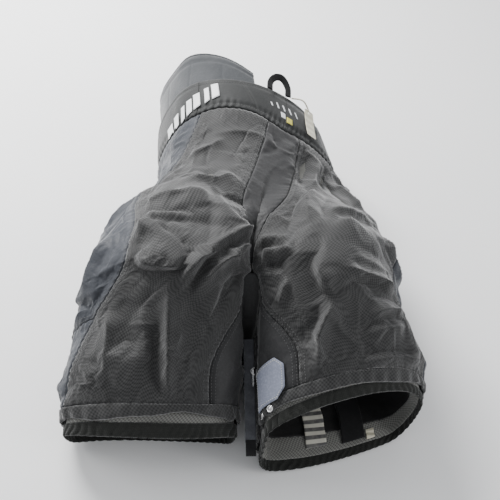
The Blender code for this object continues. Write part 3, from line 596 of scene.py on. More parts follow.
def stroke(points, line):
    """How strongly a fold acts at each point (0 to 1), and the sideways direction there."""
    _, _, wide_left, wide_right, _, places, normals, run = line
    reach = 3 * max(wide_left, wide_right)
    share = np.zeros(len(points))
    sideways = np.zeros_like(points)
    low, high = places.min(axis=0) - reach, places.max(axis=0) + reach
    near = np.nonzero(((points > low) & (points < high)).all(axis=1))[0]
    if not len(near):
        return share, sideways
    p = points[near]
    a, b = places[:-1], places[1:]
    ab = b - a
    t = np.einsum("nsk,sk->ns", p[:, None] - a, ab) / np.maximum((ab**2).sum(axis=1), 1e-12)
    t = np.clip(t, 0, 1)
    gap = p[:, None] - (a + t[..., None] * ab)
    square = (gap**2).sum(axis=2)
    best = square.argmin(axis=1)
    rows = np.arange(len(p))
    tangent = ab[best] / np.linalg.norm(ab[best], axis=1, keepdims=True)
    across = np.cross(normals[best], tangent)
    offset = (gap[rows, best] * across).sum(axis=1)
    distance = np.sqrt(square[rows, best])
    along = run[best] + t[rows, best] * np.linalg.norm(ab[best], axis=1)
    beyond = np.sqrt(np.maximum(distance**2 - offset**2, 0))
    width = np.where(offset > 0, wide_left, wide_right)
    fade = ease(np.minimum(along, run[-1] - along) / (0.30 * run[-1]) + 0.12)
    strength = np.exp(-((np.abs(offset) / width) ** 1.15)) * np.exp(-((beyond / width) ** 2)) * fade
    share[near] = strength
    sideways[near] = across
    return share, sideways


def lumps(points, size, seed):
    """Smooth uneven lumps from -1 to 1, from a few crossed waves."""
    random = np.random.default_rng(seed)
    total = np.zeros(len(points))
    for _ in range(9):
        direction = random.normal(size=3)
        direction /= np.linalg.norm(direction)
        bend = random.normal(size=3)
        phase = random.uniform(0, 2 * np.pi)
        warp = 0.8 * np.sin(points @ bend * (2 / size) + phase)
        total += np.sin(points @ direction * (2 * np.pi / size) * random.uniform(0.7, 1.4) + phase * 3 + warp)
    return total / 4.5


def creases(points, size, seed):
    """Crisp lines that wander over the cloth, stronger in some places than in others."""
    line = np.clip(1 - np.abs(lumps(points, size, seed)), 0, 1) ** 6
    return line * ease(0.45 + 1.1 * lumps(points, 1.6 * size, seed + 1))


def relief(side, v, c, points, normals):
    """Moves shell points outwards (and a little sideways) into the garment's folds."""
    shape = points.shape
    side_f = np.broadcast_to(side, v.shape).ravel()
    v_f = np.broadcast_to(v, v.shape).ravel()
    c_f = np.broadcast_to(c, v.shape).ravel()
    flat = points.reshape(-1, 3)
    out = normals.reshape(-1, 3)
    height = 0.0013 * lumps(flat, 0.060, 3) + 0.0005 * lumps(flat, 0.024, 7)
    height += 0.0046 * creases(flat, 0.150, 21) - 0.0032 * creases(flat, 0.120, 25)
    height += 0.0016 * creases(flat, 0.060, 29) - 0.0014 * creases(flat, 0.050, 33)
    slide = np.zeros_like(flat)
    for line in FOLD_LINES:
        share, sideways = stroke(flat, line)
        share = share * (side_f == line[0])
        height += FOLD_GAIN * line[1] * share
        if line[4]:
            slide += sideways * (line[4] * share)[:, None]
    guarded = np.zeros_like(v_f)
    for rows, columns in GUARDED:
        inside = ease((v_f - rows[0]) / 0.06) * ease((rows[1] - v_f) / 0.06)
        inside = inside * ease((c_f - columns[0]) / 0.03) * ease((columns[1] - c_f) / 0.03)
        guarded = np.maximum(guarded, inside)
    floor = -lerp(DEEPEST, DEEPEST_OVER_GUARD, guarded)
    height = soft_max(height, floor, 0.0012)
    calm = ease((v_f - 0.18) / 0.10) * ease((1.985 - v_f) / 0.10)
    bottom = ease((flat[:, 2] - 0.001) / 0.018)
    height = height * calm * bottom
    moved = flat + out * height[:, None] + slide * (calm * bottom)[:, None]
    return moved.reshape(shape)


# ---------------------------------------------------------------- building pieces
GARMENT = "garment"
SHELL_THICK = 0.0020


LOWEST = 0.0003
HIGHEST = 0.202
MOST_OVER = 0.014


def keep_in(points):
    """Keeps cloth off the floor, and lets it stand only a little higher than the solids."""
    z = points[..., 2]
    over = np.maximum(z - HIGHEST, 0)
    points[..., 2] = np.maximum(np.where(over > 0, HIGHEST + MOST_OVER * np.tanh(over / MOST_OVER), z), LOWEST)
    return points


def shell_grid(place, columns, rows, folds=True):
    """Grid points (rows x columns) of a sheet over the shell. place(u, w) gives side, v, c and depth."""
    w, u = unit_grid(columns, rows)
    side, v, c, depth = (np.broadcast_to(np.asarray(a, float), u.shape) for a in place(u, w))
    base = shell_point(side, v, c)
    normals = shell_normal(side, v, c)
    if folds:
        base = relief(side, v, c, base, normals)
    return keep_in(base - depth[..., None] * normals), normals


def lengths(grid):
    """Distance along each row from its first column, and along each column from its first row."""
    along_u = np.linalg.norm(np.diff(grid, axis=1), axis=2)
    along_w = np.linalg.norm(np.diff(grid, axis=0), axis=2)
    run_u = np.concatenate([np.zeros((grid.shape[0], 1)), np.cumsum(along_u, axis=1)], axis=1)
    run_w = np.concatenate([np.zeros((1, grid.shape[1])), np.cumsum(along_w, axis=0)], axis=0)
    return run_u, run_w


def mesh_object(name, points, faces, material, uv=None, smooth=True):
    mesh = bpy.data.meshes.new(name)
    mesh.from_pydata([tuple(p) for p in points], [], [tuple(int(i) for i in f) for f in faces])
    mesh.polygons.foreach_set("use_smooth", [smooth] * len(mesh.polygons))
    if uv is not None:
        layer = mesh.uv_layers.new(name="cloth")
        index = np.empty(len(mesh.loops), np.int32)
        mesh.loops.foreach_get("vertex_index", index)
        layer.data.foreach_set("uv", np.asarray(uv, np.float32)[index].ravel())
    mesh.update()
    obj = bpy.data.objects.new(name, mesh)
    mesh.materials.append(MATERIALS[material])
    bpy.context.scene.collection.objects.link(obj)
    return obj


def grid_faces(rows, columns, wrap_rows=False, wrap_columns=False):
    """Faces of a grid of rows x columns points."""
    index = np.arange(rows * columns).reshape(rows, columns)
    if wrap_rows:
        index = np.concatenate([index, index[:1]], axis=0)
    if wrap_columns:
        index = np.concatenate([index, index[:, :1]], axis=1)
    corners = (index[:-1, :-1], index[:-1, 1:], index[1:, 1:], index[1:, :-1])
    return np.stack([corner.ravel() for corner in corners], axis=1)


def settle(obj, nodes=(), body=GARMENT):
    """Puts a piece on its body and hides the CAD nodes that it stands for."""
    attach(obj, body)
    if nodes:
        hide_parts(*nodes)
    return obj


def thicken(obj, thickness, offset=-1):
    solid = obj.modifiers.new("thickness", "SOLIDIFY")
    solid.thickness = thickness
    solid.offset = offset


def unit_grid(columns, rows):
    """Shares w (down the rows) and u (along the columns), from 0 to 1."""
    return np.meshgrid(np.linspace(0, 1, rows + 1), np.linspace(0, 1, columns + 1), indexing="ij")


def mend(obj, weld=False, outwards=False):
    """Makes the normals of a mesh agree. weld also joins double points and closes holes."""
    bm = bmesh.new()
    bm.from_mesh(obj.data)
    if weld:
        bmesh.ops.remove_doubles(bm, verts=bm.verts, dist=1e-6)
        bmesh.ops.holes_fill(bm, edges=bm.edges)
    bmesh.ops.recalc_face_normals(bm, faces=bm.faces)
    if outwards and bm.calc_volume(signed=True) < 0:
        bmesh.ops.reverse_faces(bm, faces=bm.faces)
    bm.to_mesh(obj.data)
    bm.free()


def tube(name, path, radius, resolution, material):
    """A round tube along a path."""
    curve = bpy.data.curves.new(name, "CURVE")
    curve.dimensions = "3D"
    curve.bevel_depth = radius
    curve.bevel_resolution = resolution
    curve.use_fill_caps = True
    spline = curve.splines.new("POLY")
    spline.points.add(len(path) - 1)
    for target, point in zip(spline.points, path):
        target.co = (*point, 1)
    obj = bpy.data.objects.new(name, curve)
    curve.materials.append(MATERIALS[material])
    bpy.context.scene.collection.objects.link(obj)
    return obj


def cloth_uv(grid):
    return np.stack(lengths(grid), -1).reshape(-1, 2)


def face_outwards(points, faces, normals):
    """Turns the faces so that they look along the normals."""
    quad = points[faces]
    facing = np.cross(quad[:, 1] - quad[:, 0], quad[:, 3] - quad[:, 0])
    if (facing * normals[faces[:, 0]]).sum() < 0:
        faces = faces[:, ::-1]
    return faces


SIM_FRAMES = 18
SIM_EXCESS = 0.055
SIM_HELD = 0.007
SIM_FREE = 0.020
SIM_MOST_OUT = 0.0090
SIM_MOST_IN = 0.0006


def crumple(grid, normals):
    """Cloth simulation of one panel: its edges are held, and the cloth is a little larger than its place.

    It buckles into wrinkles. How far a point may move in and out is capped.
    """
    points = grid.reshape(-1, 3)
    faces = face_outwards(points, grid_faces(*grid.shape[:2]), normals.reshape(-1, 3))
    obj = mesh_object("simulated_panel", points, faces, "mesh_fabric")
    run_u, run_w = lengths(grid)
    gap = np.minimum(np.minimum(run_u, run_u[:, -1:] - run_u), np.minimum(run_w, run_w[-1:] - run_w)).ravel()
    weight = 1 - ease((gap - SIM_HELD) / (SIM_FREE - SIM_HELD))
    held = obj.vertex_groups.new(name="held")
    for level in range(1, 11):
        chosen = np.nonzero(np.round(weight * 10) == level)[0]
        if len(chosen):
            held.add([int(k) for k in chosen], level / 10, "REPLACE")
    cloth = obj.modifiers.new("cloth", "CLOTH")
    settings = cloth.settings
    settings.quality = 5
    settings.mass = 0.25
    settings.tension_stiffness = 18
    settings.compression_stiffness = 18
    settings.shear_stiffness = 6
    settings.bending_stiffness = 0.35
    settings.vertex_group_mass = "held"
    settings.shrink_min = -SIM_EXCESS
    settings.effector_weights.gravity = 0.0
    cloth.collision_settings.use_collision = False
    cloth.point_cache.frame_start = 1
    cloth.point_cache.frame_end = SIM_FRAMES
    for frame_number in range(1, SIM_FRAMES + 1):
        bpy.context.scene.frame_set(frame_number)
    done = obj.evaluated_get(bpy.context.evaluated_depsgraph_get()).data
    moved = np.empty(len(points) * 3, np.float32)
    done.vertices.foreach_get("co", moved)
    shift = moved.reshape(-1, 3).astype(float) - points
    out = normals.reshape(-1, 3)
    along = (shift * out).sum(axis=1)
    beside = shift - out * along[:, None]
    most = np.where(along > 0, SIM_MOST_OUT, SIM_MOST_IN)
    along = most * np.tanh(along / most)
    mesh = obj.data
    bpy.data.objects.remove(obj)
    bpy.data.meshes.remove(mesh)
    bpy.context.scene.frame_set(1)
    return keep_in(points + out * along[:, None] + 0.6 * beside).reshape(grid.shape)


def cloth_panel(
    name, material, place, size, seams="lrtb", thick=SHELL_THICK, folds=True, groove=0.0011, puckers=0.0005,
    loose=False,
):
    """A cloth panel: a fine grid over the shell whose sewn edges sink into their seams with small puckers.

    size is its spacing in metres. It returns the object and its grid, which the stitching follows.
    """
    coarse, _ = shell_grid(place, 12, 12, folds=False)
    run_u, run_w = lengths(coarse)
    columns = max(3, int(run_u[:, -1].max() / size))
    rows = max(3, int(run_w[-1].max() / size))
    grid, normals = shell_grid(place, columns, rows, folds)
    if loose:
        grid = crumple(grid, normals)
    run_u, run_w = lengths(grid)
    edges = {"l": run_u, "r": run_u[:, -1:] - run_u, "t": run_w, "b": run_w[-1:] - run_w}
    sink = np.zeros(grid.shape[:2])
    for edge in seams:
        gap = edges[edge]
        beside = run_w if edge in "lr" else run_u
        ripple = np.sin(beside * (2 * np.pi / 0.0095) + 2.0 * np.sin(beside * 61.0 + len(name)))
        sink += groove * np.exp(-((gap / 0.0022) ** 2)) + puckers * ripple * np.exp(-gap / 0.007)
    grid = keep_in(grid - normals * sink[..., None])
    points = grid.reshape(-1, 3)
    faces = face_outwards(points, grid_faces(*grid.shape[:2]), normals.reshape(-1, 3))
    uv = np.stack([run_u - run_u[:, -1:] / 2, run_w], axis=-1).reshape(-1, 2)
    obj = mesh_object(name, points, faces, material, uv)
    thicken(obj, thick)
    return obj, grid, normals


def flat_size(grid):
    """Longest row, longest column and area of the finished sheet, with its folds."""
    run_u, run_w = lengths(grid)
    width = float(run_u[:, -1].max())
    length = float(run_w[-1].max())
    sides = np.linalg.norm(np.cross(grid[1:, :-1] - grid[:-1, :-1], grid[:-1, 1:] - grid[:-1, :-1]), axis=2)
    return (width, length), float(sides.sum())


def declare_sheet(grid):
    """Measures a sheet's flat size and area on the drawn sheet; nothing further is done with them."""
    (width, length), area = flat_size(grid)
    flat = (round(width, 3), round(length, 3))
    area = min(max(area, 0.31 * flat[0] * flat[1]), flat[0] * flat[1]) * 0.999


def edge_line(grid, normals, edge, inset):
    """The line that runs at this distance inside one edge of a panel, with the normals along it."""
    run_u, run_w = lengths(grid)
    lines, outs = [], []
    if edge in "lr":
        for row in range(grid.shape[0]):
            run = run_u[row]
            at = inset if edge == "l" else run[-1] - inset
            lines.append([np.interp(at, run, grid[row, :, k]) for k in range(3)])
            outs.append([np.interp(at, run, normals[row, :, k]) for k in range(3)])
    else:
        for column in range(grid.shape[1]):
            run = run_w[:, column]
            at = inset if edge == "t" else run[-1] - inset
            lines.append([np.interp(at, run, grid[:, column, k]) for k in range(3)])
            outs.append([np.interp(at, run, normals[:, column, k]) for k in range(3)])
    return np.array(lines), np.array(outs)


STITCHES = {}


def sew(grid, normals, edge, insets=(0.0028,), kind="dark_thread", ends=(0.0, 1.0), pitch=0.0036):
    """Adds rows of stitches along one edge of a panel. All stitches of one thread become one piece."""
    for inset in insets:
        line, out = edge_line(grid, normals, edge, inset)
        run = path_run(line)
        count = int(run[-1] * (ends[1] - ends[0]) / pitch)
        if count < 1:
            continue
        middle = run[-1] * (ends[0] + (ends[1] - ends[0]) * (np.arange(count) + 0.5) / count)
        half = pitch * 0.33
        start, end = (
            np.stack([np.interp(middle + d, run, line[:, k]) for k in range(3)], -1) for d in (-half, half)
        )
        up = np.stack([np.interp(middle, run, out[:, k]) for k in range(3)], -1)
        STITCHES.setdefault(kind, []).append((start, end, up))


STITCH_WIDTH = 0.00045
STITCH_PROUD = 0.00035


def make_thread(name, kind, parts, body=GARMENT):
    """One piece of stitching. Each stitch is a short six-sided bead that dips into the cloth at both ends."""
    if parts:
        start, end, up = (np.concatenate([part[k] for part in parts]) for k in range(3))
        up = up / np.linalg.norm(up, axis=1, keepdims=True)
        along = end - start
        along /= np.linalg.norm(along, axis=1, keepdims=True)
        across = np.cross(up, along)
        rings = []
        for share, width, rise in ((0.0, 0.35, -0.6), (0.22, 1.0, 0.7), (0.78, 1.0, 0.7), (1.0, 0.35, -0.6)):
            centre = start + (end - start) * share + up * (STITCH_PROUD * rise)
            for angle in np.radians((0, 60, 120, 180, 240, 300)):
                side_step = across * (STITCH_WIDTH * width * math.cos(angle))
                rings.append(centre + side_step + up * (STITCH_PROUD * 0.8 * width * math.sin(angle)))
        points = np.stack(rings, axis=1)
        faces = []
        for ring in range(3):
            for k in range(6):
                a, b = ring * 6 + k, ring * 6 + (k + 1) % 6
                faces.append((a, b, b + 6, a + 6))
        faces = np.array(faces)
        caps = [tuple(range(5, -1, -1)), tuple(range(18, 24))]
        count = len(points)
        all_faces = [tuple(f) for f in (faces[None] + 24 * np.arange(count)[:, None, None]).reshape(-1, 4)]
        for n in range(count):
            all_faces += [tuple(24 * n + k for k in cap) for cap in caps]
        obj = mesh_object(name, points.reshape(-1, 3), all_faces, kind)
        settle(obj, body=body)


def make_stitches():
    for kind, parts in STITCHES.items():
        make_thread(f"stitching_{kind}", kind, parts)


# ---------------------------------------------------------------- cords
LACE_WIDTH = 0.0100
LACE_THICK = 0.0026
STRING_DIAMETER = 0.0020
CARD_LENGTH = 0.050
CARD_WIDTH = 0.019
CARD_AT = (0.096, 0.100)

front_top, front_across, front_along, front_out = surface_frame(1, 0.004, 0.010, 0.0)


def by_front(across, along, out):
    """A point near the centre front of the waistband's upper edge."""
    return front_top - front_across * across + front_along * along + front_out * out


def ribbon(name, material, path, width, thick, flat_out):
    """A flat braid along a path: its cross section is a rounded strip that keeps facing flat_out."""
    path = np.asarray(path)
    tangent = np.gradient(path, axis=0)
    tangent /= np.linalg.norm(tangent, axis=1, keepdims=True)
    side = np.cross(tangent, flat_out)
    side /= np.linalg.norm(side, axis=1, keepdims=True)
    up = np.cross(side, tangent)
    angles = np.linspace(0, 2 * np.pi, 17)[:-1]
    x = np.sign(np.cos(angles)) * np.abs(np.cos(angles)) ** 0.6 * width / 2
    z = np.sin(angles) * thick / 2
    rings = path[:, None] + side[:, None] * x[None, :, None] + up[:, None] * z[None, :, None]
    count = len(angles)
    faces = [tuple(f) for f in grid_faces(len(path), count, wrap_columns=True)]
    faces += [tuple(range(count)), tuple((len(path) - 1) * count + k for k in range(count - 1, -1, -1))]
    run = path_run(path)
    uv = np.stack(np.broadcast_arrays(x[None, :] + 0 * run[:, None], run[:, None]), -1).reshape(-1, 2)
    obj = mesh_object(name, rings.reshape(-1, 3), faces, material, uv)
    mend(obj)
    return obj


def make_card():
    """The hang tag: a thin card with round corners and a hole, raised a little off the band."""
    centre, across, along, out = surface_frame(1, *CARD_AT, -0.0026)
    half = (CARD_WIDTH / 2, CARD_LENGTH / 2)
    corner, hole, hole_at = 0.0022, 0.0016, -CARD_LENGTH / 2 + 0.0042
    turns = np.linspace(0, 2 * np.pi, 49)[:-1] + 0.001
    reach = np.minimum(half[0] / np.abs(np.cos(turns)), half[1] / np.abs(np.sin(turns)))
    edge = np.stack([np.cos(turns), np.sin(turns)], -1) * reach[:, None]
    edge = np.sign(edge) * np.minimum(np.abs(edge), np.array(half) - corner * 0.3)
    ring = np.stack([np.cos(turns) * hole, np.sin(turns) * hole + hole_at], -1)
    flat = np.concatenate([lerp(ring, edge, share) for share in np.linspace(0, 1, 7)])
    lift = 0.0030 + 0.0012 * (flat[:, 1] / half[1]) ** 2
    points = centre + flat[:, :1] * across + flat[:, 1:] * along + lift[:, None] * out
    faces = grid_faces(7, len(turns), wrap_columns=True)
    faces = face_outwards(points, faces, np.broadcast_to(out, points.shape))
    card = mesh_object("tag_card", points, faces, "card", flat, smooth=False)
    thicken(card, 0.0007, offset=0)
    return settle(card, ("hang_tag",))


def make_cords():
    lace_route = smooth_line(
        (
            by_front(-0.033, 0.004, 0.0038),
            by_front(-0.032, -0.008, 0.0060),
            by_front(-0.023, -0.0195, 0.0090),
            by_front(-0.015, -0.0215, 0.0100),
            by_front(-0.003, -0.011, 0.0075),
            by_front(-0.001, 0.003, 0.0038),
        ),
        49,
    )
    lace = ribbon("lace_loop", "webbing", lace_route, LACE_WIDTH, LACE_THICK, front_along * 0.75 + front_out)
    settle(lace, ("waist_lace",))
    card_origin, _, card_along, card_out = surface_frame(1, *CARD_AT, -0.0026)
    string_end = card_origin - card_along * (CARD_LENGTH / 2 - 0.0042) + card_out * 0.0052
    string_start = by_front(0.007, 0.0, 0.0022)
    string_middle = (string_start + string_end) / 2 + front_out * 0.006 - front_along * 0.004
    string_route = smooth_line((string_start, string_middle, string_end), 30)
    string = tube("tag_cord", string_route, STRING_DIAMETER / 2, 2, "string")
    settle(string, ("tag_string",))
    make_card()


make_cords()


# ---------------------------------------------------------------- shell panels
def span(side, v_range, c_range, depth=0.0):
    """A place function between two rows and two columns, either of which may depend on the other."""

    def place(u, w):
        c = u * 0 + 0.3
        for _ in range(5):
            v0, v1 = (f(side, c) if callable(f) else f for f in v_range)
            v = lerp(v0, v1, w)
            c0, c1 = (f(v) if callable(f) else f for f in c_range)
            c = lerp(c0, c1, u)
        return side, v, c, depth

    return place


def centre_span(v_range, reach, back=False, depth=0.0):
    """A place function across the centre front or back."""

    def place(u, w):
        v = u * 0 + 0.5
        for _ in range(5):
            across = lerp(-1, 1, u) * (reach(v) if callable(reach) else reach)
            side = np.where(across < 0, -1, 1)
            c = 1 - np.abs(across) if back else np.abs(across)
            v0, v1 = (f(side, c) if callable(f) else f for f in v_range)
            v = lerp(v0, v1, w)
        return side, v, c, depth

    return place


def gusset_reach(v):
    return np.maximum(inner_seam(v) - 0.001, 0.0015)


def leg_inner_seam(v):
    return inner_seam(v) - 0.001


FINE = 0.0024
COARSE = 0.0040


LOOSE_PANELS = ("thigh_front", "side_hip", "side_thigh")


# Columns of the lengthwise seams behind the outer side, and rows of the seams round the crotch
REAR_SEAM = 0.643
SEAT_SEAM = 0.842
BACK_SEAM = 0.996
CROTCH_HALF = 0.142
BACK_CROTCH_V = 0.990
GUSSET_END_V = 0.962
SEAT_REACH = 0.158
SINGLE_ROW = (0.0028,)
DOUBLE_ROW = (0.0025, 0.0075)
SLOT_ROW = (0.0020,)


def shell_piece(name, slot, place, size, node, rows=(), look=None):
    """One shell panel with its stitching: rows holds an edge and the insets of its lines of thread."""
    obj, grid, normals = cloth_panel(name, look or slot, place, size, loose=name.startswith(LOOSE_PANELS))
    settle(obj, (node,))
    declare_sheet(grid)
    for edge, insets in rows:
        sew(grid, normals, edge, insets)


def crotch_place(u, w):
    return 1, 1 + CROTCH_HALF * (2 * u - 1), -0.004 - 0.992 * w, 0.0


def make_shell():
    nylon, mesh, dark = "nylon_fabric", "mesh_fabric", "nylon_dark"
    both_double = (("l", DOUBLE_ROW), ("r", DOUBLE_ROW))
    both_single = (("l", SINGLE_ROW), ("r", SINGLE_ROW))
    front_place = centre_span((band_seam, GUSSET_END_V), gusset_reach)
    seat_place = centre_span((band_seam, BACK_CROTCH_V), SEAT_REACH, back=True)
    shell_piece("gusset_front", nylon, front_place, FINE, "front_gusset", look=dark)
    shell_piece("seat", nylon, seat_place, COARSE, "seat_panel", both_double, dark)
    shell_piece("gusset_crotch", nylon, crotch_place, FINE, "crotch_gusset", both_single, dark)
    for side in SIDE_NAME:
        flank = lambda v, side=side: side_seam(side, v)
        above = lambda v, side=side: slot_column(side, v, SLOT_HALF)
        below = lambda v, side=side: slot_column(side, v, -SLOT_HALF)
        leg_rows = (1 + CROTCH_HALF, HEM_V)
        # name, node, slot, rows, columns, spacing, stitching, look
        panels = (
            ("thigh_front", "front_thigh", mesh, (band_seam, HEM_V), (inner_seam, flank), FINE,
             both_double, None),
            ("side_hip", "hip_panel", nylon, (band_seam, CROSS_V), (flank, REAR_SEAM), FINE,
             (("l", SINGLE_ROW), ("b", DOUBLE_ROW), ("r", SINGLE_ROW)), None),
            ("side_thigh", "outer_thigh", nylon, (CROSS_V, HEM_V), (flank, REAR_SEAM), FINE, both_single, None),
            ("hip_rear", "rear_hip", mesh, (band_seam, BACK_CROTCH_V), (REAR_SEAM, SEAT_SEAM), COARSE,
             (("b", DOUBLE_ROW),), None),
            ("leg_rear", "rear_leg", mesh, (BACK_CROTCH_V, HEM_V), (REAR_SEAM, BACK_SEAM), COARSE, (), None),
            ("leg_inner_front", "inner_front", nylon, leg_rows, (above, leg_inner_seam), FINE,
             (("l", SLOT_ROW), ("r", DOUBLE_ROW)), dark),
            ("leg_inner_rear", "inner_rear", nylon, leg_rows, (-BACK_SEAM, below), FINE,
             (("r", SLOT_ROW),), dark),
        )
        label = SIDE_NAME[side]
        for name, node, slot, v_range, c_range, size, rows, look in panels:
            place = span(side, v_range, c_range)
            shell_piece(f"{name}_{label}", slot, place, size, f"{node}_{label}", rows, look)


make_shell()


# ---------------------------------------------------------------- padded strips: hems, band, padded back
def strip(
    name, material, place, columns, rows, thick, puff, ring=False, shape=None, folds=True, inner_puff=0.0,
    lean=None,
):
    """A stuffed strip with round edges. place(u, w) gives side, v and c; w runs across the strip.

    shape(u, w, run, face) gives extra metres outwards, where run is the distance along the strip and
    face is 1 outside and 0 inside.
    """
    w = np.linspace(0, 1, rows + 1)
    loop_w = np.concatenate([w, w[-2:0:-1]])
    face = np.concatenate([np.ones(rows + 1), np.zeros(rows - 1)])
    full = (1 - np.abs(2 * loop_w - 1) ** 3.2) ** 0.8
    out = np.where(face > 0, puff * full, -thick - inner_puff * full)
    out = np.where(face > 0, out * 1.0, out * full - thick / 2 * (1 - full))
    out = np.where((face > 0), lerp(-thick / 2, out, ease(full * 2.2)), out)
    u = np.linspace(0, 1, columns + 1)
    if ring:
        u = u[:-1]
    ww, uu = np.meshgrid(loop_w, u, indexing="ij")
    outward = np.broadcast_to(out[:, None], uu.shape).copy()
    side, v, c = (np.broadcast_to(np.asarray(a, float), uu.shape) for a in place(uu, ww)[:3])
    base = shell_point(side, v, c)
    normals = shell_normal(side, v, c)
    if folds:
        base = relief(side, v, c, base, normals)
    run_u, _ = lengths(base)
    if shape:
        outward += shape(uu, ww, run_u, face[:, None] * np.ones_like(uu))
    depth = place(uu, ww)[3]
    points = base + normals * (outward - depth)[..., None]
    points = keep_in(points + (lean(uu, v) if lean else 0.0))
    count_rows, count_columns = uu.shape
    faces = grid_faces(count_rows, count_columns, wrap_rows=True, wrap_columns=ring)
    quad = points.reshape(-1, 3)[faces]
    facing = np.cross(quad[:, 1] - quad[:, 0], quad[:, 3] - quad[:, 0])
    outer_faces = faces[:, 0] < (rows - 1) * count_columns
    if (facing[outer_faces] * normals.reshape(-1, 3)[faces[outer_faces, 0]]).sum() < 0:
        faces = faces[:, ::-1]
    faces = [tuple(f) for f in faces]
    if not ring:
        ends = np.arange(count_rows) * count_columns
        faces += [tuple(ends), tuple((ends + count_columns - 1)[::-1])]
    _, run_w = lengths(points)
    uv = np.stack([run_u, run_w], -1).reshape(-1, 2)
    obj = mesh_object(name, points.reshape(-1, 3), faces, material, uv)
    if not ring:
        mend(obj, outwards=True)
    return obj, points[: rows + 1], normals[: rows + 1]


def hem_lift(side, c):
    """How far the turned hem is drawn up, as a share of v: at the inner front of each leg."""
    right = 0.060 * np.exp(-(((c - 0.13) / 0.055) ** 2)) + 0.012 * np.sin(c * 34)
    left = -0.035 * np.exp(-(((c - 0.27) / 0.09) ** 2)) + 0.008 * np.sin(c * 30 + 1)
    return np.where(np.asarray(side) > 0, left, right)


def hem_shape(uu, ww, run, face):
    ripple = np.sin(run * (2 * np.pi / 0.017) + 1.4 * np.sin(run * 47))
    return 0.0011 * ripple * (0.3 + ww) + 0.0005 * np.sin(run * (2 * np.pi / 0.0065)) * (1 - ww)


def make_hems():
    for side, label in SIDE_NAME.items():
        above = slot_column(side, np.array([1.95]), SLOT_HALF)[0]
        below = slot_column(side, np.array([1.95]), -SLOT_HALF)[0]
        for part, c0, c1 in (("front", above, 0.500), ("rear", 0.500, 2 + below)):

            def place(u, w, side=side, c0=c0, c1=c1):
                c = lerp(c0, c1, u)
                bottom = 2.0 - hem_lift(side, c)
                return side, lerp(HEM_V, bottom, w), c, 0.0

            obj, grid, normals = strip(
                f"hem_turned_{part}_{label}", "mesh_fabric", place, 150, 10, 0.0034, 0.0006, shape=hem_shape
            )
            settle(obj, (f"hem_{part}_{label}",))
            declare_sheet(grid)
            sew(grid, normals, "t", (0.0022,), "dark_thread")
        elastic_ring(side, label)


def elastic_ring(side, label):
    def place(u, w):
        c = 2 * u - 1
        return side, lerp(2.022, 2.121, w), c, 0.0040

    def gathers(uu, ww, run, face):
        bend = run + 0.0016 * np.sin(ww * 5 + run * 90)
        fold = np.abs(np.sin(bend * (np.pi / 0.0098) + 1.2 * np.sin(run * 39))) ** 0.7 - 0.6
        ribs = 0.00022 * np.sin(ww * 2 * np.pi * 5)
        return (0.0026 * fold * (0.35 + 0.65 * ww)) + ribs * face

    obj, grid, _ = strip(
        f"elastic_{label}", "elastic", place, 420, 12, 0.0018, 0.0003, ring=True, shape=gathers, folds=False
    )
    settle(obj, (f"elastic_hem_{label}",))
    declare_sheet(grid)


make_hems()


def pucker(run, w, pitch, height):
    """Small gathers that die out away from the strip's lower edge."""
    near = ease((w - 0.62) / 0.38)
    uneven = 0.55 + 0.45 * np.sin(run * 61 + 2 * np.sin(run * 19))
    return height * near * uneven * np.sin(run * (2 * np.pi / pitch) + 2.6 * np.sin(run * 33))


BAND_JOIN = (0.52, 0.28)


def band_front_shape(uu, ww, run, face):
    """The front of the band also has a slanted join on each side."""
    join = np.exp(-(((uu - lerp(*BAND_JOIN, ww)) / 0.013) ** 2))
    return band_shape(uu, ww, run, face) - 0.0013 * join * face


def band_shape(uu, ww, run, face):
    channel = np.exp(-(((ww - 0.16) / 0.035) ** 2))
    lower = np.exp(-(((ww - 0.86) / 0.05) ** 2))
    waves = 0.0007 * np.sin(run * 52) * np.sin(ww * 4.2) + 0.0005 * np.sin(run * 21 + 2)
    return face * (waves - 0.0010 * channel - 0.0016 * lower + pucker(run, ww, 0.0085, 0.0009))


def make_waistband():
    pieces = (
        ("band_front_left", span(1, (0.0, band_seam), (0.0008, 0.356)), "waistband_front_left", 150),
        ("band_front_right", span(-1, (0.0, band_seam), (0.0008, 0.356)), "waistband_front_right", 150),
        ("band_back", centre_span((0.0, band_seam), 0.643, back=True), "waistband_back", 260),
    )
    for name, place, node, columns in pieces:
        form = band_front_shape if "front" in name else band_shape
        obj, grid, normals = strip(name, "band_fabric", place, columns, 22, 0.0040, 0.0018, shape=form)
        settle(obj, (node,))
        sew(grid, normals, "t", (0.0095,), "dark_thread")
        sew(grid, normals, "b", (0.0085,), "dark_thread")


def kidney_place(u, w):
    """The pad stands up on the right, and its left wing leans into the opening."""
    across = lerp(KIDNEY_COLUMNS[0], KIDNEY_COLUMNS[-1], u)
    top = -kidney_rise(across) / (WAIST_Y - CROTCH_Y)
    side = np.where(across < 0, -1, 1)
    c = 1 - np.abs(across)
    v = lerp(top, band_seam(side, c) + 0.02, w)
    return side, v, c, PAD_DEPTH + 0.001


def kidney_lean(u, v):
    """How far the left wing leans over, above the waistband."""
    across = lerp(KIDNEY_COLUMNS[0], KIDNEY_COLUMNS[-1], u)
    lean = KIDNEY_LEAN * ease((across - 0.22) / 0.36) * ease(-v / 0.20)
    return lean[..., None] * np.array(LEAN_WAY)


def quilting(uu, ww, run, face):
    """Sewn channels: one along the bound edge and short ones across the pad."""
    edge = np.exp(-(((ww - 0.13) / 0.018) ** 2))
    across = np.exp(-((np.sin(run * (np.pi / 0.052)) / 0.13) ** 2)) * ease((ww - 0.13) / 0.05)
    soft = 0.0006 * np.sin(run * 37 + ww * 6) + 0.0004 * np.sin(run * 71 - ww * 9)
    return (2 * face - 1) * (-0.0014 * edge - 0.0006 * across) + soft


BINDING_RADIUS = 0.0026


